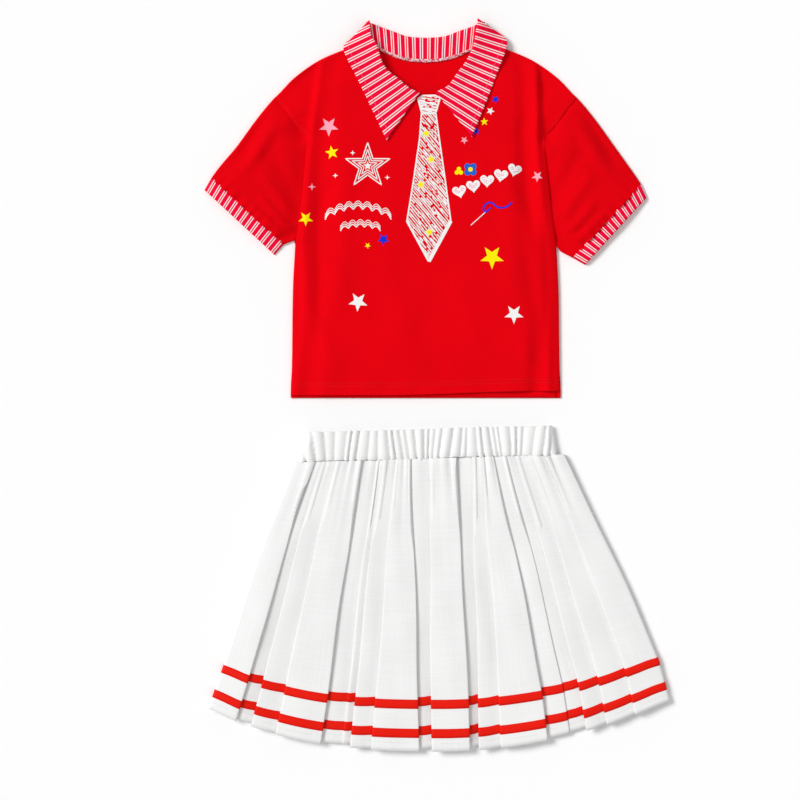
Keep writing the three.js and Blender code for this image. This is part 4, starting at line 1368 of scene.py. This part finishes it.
class UNIFORM_OT_prints(bpy.types.Operator):
    """The printed film on the chest: stars, the drawn tie, flowers, hearts and pen lines"""
    bl_idname = "uniform.prints"
    bl_label = "Prints"

    def execute(self, context):
        sizes = context.scene.uniform_sizes
        for node, (colour, x, y, radius, turn) in STARS.items():
            piece = film(f"{node}_film", [star(x, y, radius, turn)], colour, sizes)
            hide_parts(node)
        for node, (colour, x, y, radius) in SPARKLES.items():
            piece = film(f"{node}_film", [star(x, y, radius, 0, 4, 0.36)], colour, sizes)
            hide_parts(node)
        self.outlined_star(sizes)
        self.tie(sizes)
        self.flowers(sizes)
        self.hearts(sizes)
        self.pen_lines(sizes)
        return {"FINISHED"}

    def outlined_star(self, sizes):
        """Three nested outlines round a small filled star."""
        x, y, radius = BIG_STAR
        paths = [closed([tuple(p) for p in star(x, y, radius * share, waist=0.385)])
                 for share in (0.95, 0.67, 0.41)]
        piece = film("outlined_star_film", [star(x, y, radius * 0.19)], "white", sizes,
                     strips=(paths, [1.5, 1.3, 1.2]))
        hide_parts("outlined_star_print")

    def tie(self, sizes):
        """The knot and the blade, filled with pen strokes, and four small stars on haloes."""
        knot = [(x + TIE_X, y) for x, y in TIE_KNOT]
        blade = [(x + TIE_X, y) for x, y in TIE_BLADE]
        paths, widths = hatching(line(closed(knot), 2)[:-1], -10, 2.1, 1.9, 6, 0.3, 0.2)
        paths.append(closed(knot))
        widths.append(2.2)
        piece = film("tie_knot_film", [], "white", sizes, strips=(paths, widths))
        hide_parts("tie_knot_print")
        paths, widths = hatching(line(closed(blade), 2)[:-1], -50, 2.75, 1.55, 8, 0.16, 0.4)
        extra_paths, extra_widths = hatching(line(closed(blade), 2)[:-1], -58, 5.5, 1.2, 31, 0.7, 0.4)
        paths += extra_paths
        widths += extra_widths
        right = [blade[k] for k in range(0, 4)]
        left = [blade[k] for k in range(5, 9)]
        paths += [right, left, [blade[0], blade[8]]]
        widths += [1.9, 1.9, 3.0]
        paths += [[blade[3], blade[4]], [blade[4], blade[5]]]
        widths += [4.6, 2.8]
        piece = film("tie_blade_film", [], "white", sizes, strips=(paths, widths))
        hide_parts("tie_blade_print")
        for k, (x, y) in enumerate(TIE_STARS, 1):
            film(f"tie_star_{k}_halo", [star(x, y, 6.9, 8, 5, 0.5)], "white", sizes, sizes.film_lift + 0.15)
            piece = film(f"tie_star_{k}_film", [star(x, y, 5.6, 8, 5, 0.46)], "yellow", sizes,
                         sizes.film_lift + 0.3)
            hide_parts(f"tie_star_print_{k}")

    def flowers(self, sizes):
        """A small round-petalled flower and a larger one with ringed petals."""
        x, y = 43, 293.5
        petals = [disc(x + 3.1 * math.cos(a), y + 3.1 * math.sin(a), 2.9, 14)
                  for a in np.radians([90, 210, 330])]
        piece = film("flower_yellow_film", petals, "yellow", sizes)
        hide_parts("flower_print_yellow")
        x, y = 58, 296
        petals = [disc(x + 5.2 * math.cos(a), y + 5.2 * math.sin(a), 4.3, 16)
                  for a in np.radians([45, 135, 225, 315])]
        piece = film("flower_blue_film", petals, "sky", sizes)
        rings = [closed([tuple(p) for p in disc(x + 5.2 * math.cos(a), y + 5.2 * math.sin(a), 2.4, 12)])
                 for a in np.radians([45, 135, 225, 315])]
        film("flower_blue_rings", [], "blue", sizes, sizes.film_lift + 0.15, (rings, [0.8] * 4))
        film("flower_blue_middle", [disc(x, y, 3.1, 14)], "yellow", sizes, sizes.film_lift + 0.25)
        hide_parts("flower_print_blue")

    def hearts(self, sizes):
        """A rising row of plump hearts with pen strokes in them."""
        for k, (x, y, radius) in enumerate(HEARTS, 1):
            tilt = 0.35 - 0.12 * k
            outline = heart(x, y, radius, tilt)
            piece = film(f"heart_{k}_film", [outline], "white", sizes)
            paths, widths = hatching(outline, 12, 2.2, 0.75, 20 + k, 0.3, 1.6)
            film(f"heart_{k}_pen", [], "pink", sizes, sizes.film_lift + 0.15, (paths, widths))
            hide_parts(f"heart_print_{k}")

    def pen_lines(self, sizes):
        """Scalloped white lines under the outlined star, and a blue squiggle with a thin white dash."""
        arcs, widths = [], []
        for x0, x1, y0, rise, scallops, depth in SCALLOPS:
            t = np.linspace(0, 1, 14 * scallops)
            x = x0 + (x1 - x0) * t
            bow = y0 + rise * (1 - (2 * t - 1) ** 2)
            for offset, width in ((0, 1.4), (4.6, 1.1), (9.2, 0.9)):
                wave = np.abs(np.sin(t * math.pi * scallops)) * depth
                arcs.append([tuple(p) for p in np.column_stack([x, bow + wave + offset * 0.6])])
                widths.append(width)
        film("scallop_film", [], "white", sizes, strips=(arcs, widths))
        squiggle = curve([(112, 253.5), (106, 248), (98, 246), (92, 247.5), (87, 252), (81, 252.5),
                          (76, 248.5),
                          (75, 243), (77.5, 240.5), (81, 243), (84, 246.5)], 1.5)
        film("squiggle_film", [], "blue", sizes, strips=([[tuple(p) for p in squiggle]], [2.1]))
        film("dash_film", [], "white", sizes, strips=([[(77.5, 240.5), (58.5, 223.5)]], [1.1]))


# ---------------------------------------------------------------- the skirt

# Each face of a pleat ends at a fold: its place at the ribbon, its place at the waist seam,
# and the height of the cloth at the face's left and right edges.
FIRST_FOLD = (-280, -186)
PLEATS = [
    (-247, -160, 9.5, 12.6), (-229.5, -152, 8, 5.4), (-200, -135, 12, 9.5), (-144.5, -98, 13, 12.5),
    (-119, -81, 7.5, 6), (-109, -74, 6.5, 5), (-83, -56, 12, 9.5), (-27, -36, 13, 12.5),
    (-10, -14, 7.8, 5.4), (39, 24, 13, 12.5), (51, 43, 7.4, 5), (78, 56, 13, 10),
    (134.5, 72, 12.5, 12.5), (162, 88, 7, 7.8), (182, 97, 6, 4.8), (207.6, 115, 12, 9),
    (243, 136, 12.5, 9.5), (285, 163, 12, 9),
]


def hem_rise(x):
    """How much higher than its middle the ribbon lies, at a place along it."""
    left = 42 * (np.clip(-x, 0, None) / 272) ** 2.7
    right = 53 * (np.clip(x, 0, None) / 279) ** 2.0
    return left + right


def gather_places(low, high, pitch, seed):
    """Uneven places of the creases between gathers."""
    local = random.Random(seed)
    places = [low]
    while places[-1] < high:
        places.append(places[-1] + pitch * local.uniform(0.55, 1.55))
    return np.array(places)


def band_gathers(sizes):
    """The creases that the waistband shares with the top of the pleats."""
    return gather_places(-200, 200, sizes.gather_pitch, 5)


def gathers(x, places):
    """Rounded cloth between sharp creases: 0 in a crease, 1 on the crest."""
    k = np.clip(np.searchsorted(places, x) - 1, 0, len(places) - 2)
    share = (x - places[k]) / (places[k + 1] - places[k])
    crest = 0.55 + 0.45 * np.sin(k * 2.4) ** 2
    return crest * np.abs(np.sin(math.pi * np.clip(share, 0, 1))) ** 0.7


def slanted(x, share):
    """Where a gather that passes through x lies in the unslanted pattern, share of the way down the band."""
    return x + 6 * np.sin(x / 19 + 1) * (share - 0.5)


# The rounded side edges of the pleated cloth: how far each point stands out, and its share of the height.
LEFT_EDGE = ((0.6, 0.0), (-0.8, 0.18), (-1.5, 0.45), (-1.2, 0.75), (0.2, 0.95))
RIGHT_EDGE = ((-0.2, 0.95), (1.2, 0.75), (1.5, 0.45), (0.8, 0.18), (-0.6, 0.0))


def pleat_section(pleats, first, underlap, edge_z, step=4.2):
    """Section across the pleats at the ribbon: places and heights, with the cloth folded under each edge."""
    xs, zs = [], []

    def add(x, z):
        xs.append(x)
        zs.append(z)

    left, start_z = first[0], pleats[0][2]
    for out, share in LEFT_EDGE:
        add(left + out, edge_z + (start_z - edge_z) * share)
    for k, (fold, _, z_in, z_out) in enumerate(pleats):
        last = k == len(pleats) - 1
        begin = left + 2.2
        end = fold - 2.2
        count = max(3, int((end - begin) / step))
        for t in np.linspace(0, 1, count):
            crown = 0.5 * math.sin(math.pi * t)
            add(begin + (end - begin) * t, z_in + (z_out - z_in) * t + crown)
        if last:
            for out, share in RIGHT_EDGE:
                add(fold + out, edge_z + (z_out - edge_z) * share)
            break
        next_z = pleats[k + 1][2]
        if z_out > next_z:
            deep = min(underlap, (fold - left) * 0.6)
            for out, z in ((-0.7, z_out - 0.1), (0, z_out - 0.6), (-0.4, z_out - 1.3), (-deep, z_out - 2.4),
                           (-deep - 0.7, (z_out - 2.4 + next_z) / 2), (-deep, next_z - 0.2),
                           (-deep / 2, next_z)):
                add(fold + out, z)
        else:
            following = pleats[k + 1][0]
            deep = min(underlap, (following - fold) * 0.6)
            for out, z in ((deep / 2, z_out), (deep, z_out - 0.2), (deep + 0.7, (next_z - 2.4 + z_out) / 2),
                           (deep, next_z - 2.4), (0.4, next_z - 1.3), (0, next_z - 0.6),
                           (0.7, next_z - 0.1)):
                add(fold + out, z)
        left = fold
    return np.array(xs), np.array(zs)


def pleated_grid(pleats, first, underlap, depth, ts, edge_z, waist_gathers, mean=9.5):
    """Points of the pleated cloth: rows from the waist seam down, columns across the folds."""
    xs, zs = pleat_section(pleats, first, underlap, edge_z)
    folds = np.array([first[0]] + [p[0] for p in pleats])
    waists = np.array([first[1]] + [p[1] for p in pleats])
    at_waist = np.interp(xs, folds, waists)
    run = np.concatenate([[0], np.cumsum(np.hypot(np.diff(xs), np.diff(zs)))])
    seam_y = -BAND_HEIGHT + BAND_SLOPE * at_waist
    ribbon_y = -RIBBON_DROP + hem_rise(xs)
    rows, uvs = [], []
    for t in ts:
        open_share = 0.2 + 0.8 * smooth(t / 0.8)
        x = at_waist + (xs - at_waist) * (min(t, 1) + np.where(xs < 0, 1.0, 0.6) * max(t - 1, 0))
        x = x + 1.5 * np.sin(6.2 * t + at_waist / 17) * math.sin(math.pi * min(t, 1))
        bow = 3.0 * math.sin(math.pi * min(t, 1)) * np.sign(xs) * smooth(np.abs(xs) / 270)
        y = seam_y + (ribbon_y - seam_y) * t
        edge = smooth((np.minimum(xs - xs.min(), xs.max() - xs)) / 20)
        z = mean + (zs - mean) * open_share * depth * edge + (zs - mean) * (1 - edge)
        depth_here = np.clip(12.5 - zs, 0, 8) * edge
        y = y + depth_here * 0.62 * smooth((t - 0.35) / 0.6)
        from_seam = t * RIBBON_DROP
        ripple = gathers(slanted(at_waist, 1), waist_gathers) - 0.4
        z = z + (3.8 * math.exp(-from_seam / 30) + 1.0 * math.exp(-from_seam / 110)) * ripple * edge
        z = z + 0.7 * drift(xs * 1.6, y, 75) * edge
        z = z - 0.8 * math.exp(-(from_seam / 4.5) ** 2) * edge
        rows.append(np.column_stack([x + bow, y, z]))
        uvs.append(np.column_stack([run, np.full(len(run), -t * (RIBBON_DROP - BAND_HEIGHT))]))
    return np.stack(rows), np.stack(uvs)


HEM_T = (HEM_DROP - BAND_HEIGHT) / (RIBBON_DROP - BAND_HEIGHT)
LOW_RIBBON_T = (LOW_RIBBON_DROP - BAND_HEIGHT) / (RIBBON_DROP - BAND_HEIGHT)


def back_pleats():
    """Plain knife pleats across the skirt's back, all turned one way."""
    count = 22
    out = []
    for k in range(1, count + 1):
        share = k / count
        out.append((FIRST_FOLD[0] + 565 * share, FIRST_FOLD[1] + 350 * share, 2.0, 3.6))
    return out


class UNIFORM_OT_skirt(bpy.types.Operator):
    """The pleated front and back of the skirt, with the satin ribbons and the hem"""
    bl_idname = "uniform.skirt"
    bl_label = "Pleated skirt"

    def execute(self, context):
        sizes = context.scene.uniform_sizes
        rows = np.concatenate([np.linspace(0, 0.16, 16), np.linspace(0.18, HEM_T, 56)])
        front, uv = self.front_grid(rows, sizes)
        count = front.shape[1]
        piece = make_piece("skirt_front_cloth", front.reshape(-1, 3), grid_faces(len(rows), count),
                           SKIRT_AT,
                           uv.reshape(-1, 2), MATERIALS["skirt"])
        face_up(piece)
        half = sizes.ribbon_width / 2 / (RIBBON_DROP - BAND_HEIGHT)
        ribbons = {"front": [], "back": []}
        for face, sewn in ribbons.items():
            for name, middle in (("upper", 1.0), ("lower", LOW_RIBBON_T)):
                ts = np.linspace(middle - half, middle + half, 4)
                sewn.append(self.ribbon(f"ribbon_{name}_{face}", ts, face, sizes))
        self.finish(piece, "skirt_front", front, sizes, ribbons["front"])

        back, uv_back = self.back_grid(rows, sizes)
        piece = make_piece("skirt_back_cloth", back.reshape(-1, 3), grid_faces(len(rows), back.shape[1]),
                           SKIRT_AT,
                           uv_back.reshape(-1, 2), MATERIALS["skirt"])
        face_up(piece)
        reverse(piece)
        self.finish(piece, "skirt_back", back, sizes, ribbons["back"])
        hem, _ = self.front_grid(np.array([HEM_T - 0.034]), sizes)
        self.hem_stitches(hem[0])
        return {"FINISHED"}

    def front_grid(self, rows, sizes):
        """The front's pleats, as rows and columns of points."""
        places = band_gathers(sizes)
        return pleated_grid(PLEATS, FIRST_FOLD, sizes.underlap, sizes.pleat_depth, rows, 3.6, places)

    def back_grid(self, rows, sizes):
        """The back's pleats, turned to face down and kept close to the ground."""
        places = band_gathers(sizes)
        grid, uv = pleated_grid(back_pleats(), FIRST_FOLD, 7, 1.0, rows, 0.8, places, mean=2.8)
        grid[..., 2] = 5.4 - np.clip(grid[..., 2], 0.9, 4.2)
        return grid, uv

    def finish(self, piece, node, grid, sizes, ribbons):
        """Thickness, body and hidden CAD node of one side of the skirt."""
        thicken(piece, sizes.skirt_ply)
        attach(piece, "skirt")
        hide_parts(node)

    def ribbon(self, name, ts, face, sizes):
        """One satin ribbon, which follows every pleat of its side of the skirt."""
        grid, uv = self.front_grid(ts, sizes) if face == "front" else self.back_grid(ts, sizes)
        normal = grid_normals(grid)
        if (normal[..., 2].sum() < 0) == (face == "front"):
            normal = -normal
        grid = grid + normal * 0.45
        piece = make_piece(f"{name}_satin", grid.reshape(-1, 3), grid_faces(len(ts), grid.shape[1]),
                           SKIRT_AT,
                           uv.reshape(-1, 2), MATERIALS["ribbon"])
        face_up(piece)
        if face == "back":
            reverse(piece)
        thicken(piece, 0.4)
        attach(piece, "skirt")
        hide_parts(name)
        return piece

    def hem_stitches(self, row):
        """A line of stitches along the uppermost cloth near the hem."""
        order = np.argsort(row[:, 0])
        top = {}
        for x, y, z in row[order]:
            key = round(x / 2)
            if key not in top or z > top[key][2]:
                top[key] = (x, y, z)
        line_points = np.array(sorted(top.values()))
        path = line_points[:, :2]

        def on_hem(x, y):
            return np.interp(x, line_points[:, 0], line_points[:, 2]) + 0.02

        stitches("skirt_hem_stitches", path, on_hem, SKIRT_AT, MATERIALS["white_thread"], "skirt", 3.4,
                 2.4, 0.5)


def band_loop(down, share, inset, places):
    """One ring of the waistband: front left to right, then back right to left."""
    half = BAND_TOP_HALF + (SEAM_HALF - BAND_TOP_HALF) * share - inset
    middle = BAND_SHIFT - 4 - 3.5 * share
    front = np.linspace(-1, 1, 300)
    x = middle + half * front
    edge = (1 - np.abs(front)) * half
    hump = gathers(slanted(x, share), places)
    fade = smooth(edge / 10)
    z = 3.6 + (4.6 - inset * 0.6) * roll(edge / 3) + (4.5 * hump + 0.5 * np.sin(x / 17)) * fade
    z += 0.8 * np.sin(math.pi * share) * fade - 1.1 * math.exp(-((share - 1) * BAND_HEIGHT / 3) ** 2) * fade
    y = -down + BAND_SLOPE * x + 1.8 * (hump - 0.4) * (1 - share) + 0.5 * np.sin(x / 29)
    y += 2.2 * (hump - 0.4) * np.sin(x / 13) * share - 0.8 * hump * share ** 3
    back = np.linspace(1, -1, 120)[1:-1]
    bx = middle + half * back
    bedge = (1 - np.abs(back)) * half
    bz = 3.6 - (3.0 - inset * 0.6) * roll(bedge / 5) + 0.3 * gathers(bx, places) * smooth(bedge / 10)
    by = np.full(len(back), -float(down)) + BAND_SLOPE * bx
    return np.vstack([np.column_stack([x, y, z]), np.column_stack([bx, by, bz])])


class UNIFORM_OT_waistband(bpy.types.Operator):
    """The gathered waistband, folded over its elastic"""
    bl_idname = "uniform.waistband"
    bl_label = "Waistband"

    def execute(self, context):
        sizes = context.scene.uniform_sizes
        places = band_gathers(sizes)
        rings, runs = [], []
        for down in (35, 25, 14, 5, 1.5):
            rings.append(band_loop(down, down / BAND_HEIGHT, 3.0, places))
            runs.append(80 - down)
        rings.append(band_loop(0.4, 0.0, 2.3, places))
        runs.append(41)
        rings.append(band_loop(0.0, 0.0, 1.1, places))
        runs.append(40)
        rings.append(band_loop(0.3, 0.0, 0.3, places))
        runs.append(39)
        for down in (1.2, 3, 6, 10, 14, 18, 22, 26, 29, 32, 34, 35.6, 36.8, 37.8):
            rings.append(band_loop(down, down / BAND_HEIGHT, 0, places))
            runs.append(-down)
        grid = np.stack(rings)
        grid[..., 2] = np.maximum(grid[..., 2], 0.5)
        count = grid.shape[1]
        around = np.concatenate([[0], np.cumsum(np.linalg.norm(np.diff(grid[10], axis=0), axis=1))])
        uv = np.stack(np.broadcast_arrays(around[None, :], np.array(runs)[:, None]), axis=2).reshape(-1, 2)
        band = make_piece("waistband_cloth", grid.reshape(-1, 3), grid_faces(len(rings), count, True),
                          SKIRT_AT, uv,
                          MATERIALS["skirt"], flip=True)
        outward(band)
        thicken(band, 0.8)
        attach(band, "skirt")
        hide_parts("waistband_outer", "waistband_facing")

        rings = [band_loop(down, down / BAND_HEIGHT, 1.7, places)
                 for down in (3, 10.5, 18, 25.5, 33)]
        grid = np.stack(rings)
        count = grid.shape[1]
        uv = np.stack(np.broadcast_arrays(around[None, :], (np.arange(5) * 7.5)[:, None]),
                      axis=2).reshape(-1, 2)
        elastic = make_piece("waist_elastic_braid", grid.reshape(-1, 3), grid_faces(5, count, True),
                             SKIRT_AT, uv,
                             MATERIALS["elastic"], flip=True)
        outward(elastic)
        thicken(elastic, 0.3)
        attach(elastic, "skirt")
        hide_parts("waistband_elastic")
        return {"FINISHED"}


PIECES = [
    ("uniform.stage", "Stage"), ("uniform.body", "Shirt body"), ("uniform.sleeves", "Sleeves and cuffs"),
    ("uniform.collar", "Collar"), ("uniform.prints", "Prints"), ("uniform.skirt", "Pleated skirt"),
    ("uniform.waistband", "Waistband"),
]


class UNIFORM_PT_panel(bpy.types.Panel):
    """Lists the uniform's sizes, colours and pieces"""
    bl_idname = "UNIFORM_PT_panel"
    bl_label = "Cheer uniform"
    bl_space_type = "VIEW_3D"
    bl_region_type = "UI"
    bl_category = "Uniform"

    def draw(self, context):
        for settings in (context.scene.uniform_sizes, context.scene.uniform_colours):
            box = self.layout.box()
            for name in settings.bl_rna.properties.keys():
                if name not in ("rna_type", "name"):
                    box.prop(settings, name)
        for operator, label in PIECES:
            self.layout.operator(operator, text=label)


CLASSES = [UniformColours, UniformSizes, UNIFORM_OT_stage, UNIFORM_OT_body, UNIFORM_OT_sleeves,
           UNIFORM_OT_collar,
           UNIFORM_OT_prints, UNIFORM_OT_skirt, UNIFORM_OT_waistband, UNIFORM_PT_panel]


def register():
    """Add the settings, the operators and the panel."""
    for entry in CLASSES:
        bpy.utils.register_class(entry)
    bpy.types.Scene.uniform_colours = bpy.props.PointerProperty(type=UniformColours)
    bpy.types.Scene.uniform_sizes = bpy.props.PointerProperty(type=UniformSizes)


def unregister():
    """Take them away again."""
    del bpy.types.Scene.uniform_sizes
    del bpy.types.Scene.uniform_colours
    for entry in reversed(CLASSES):
        bpy.utils.unregister_class(entry)


def main():
    """Build every piece in order."""
    register()
    clear_selection()
    scene = bpy.context.scene
    build_materials(scene.uniform_colours, scene.uniform_sizes)
    bpy.ops.uniform.stage()
    bpy.ops.uniform.body()
    bpy.ops.uniform.sleeves()
    bpy.ops.uniform.collar()
    bpy.ops.uniform.prints()
    bpy.ops.uniform.skirt()
    bpy.ops.uniform.waistband()


if __name__ == "__main__":
    main()
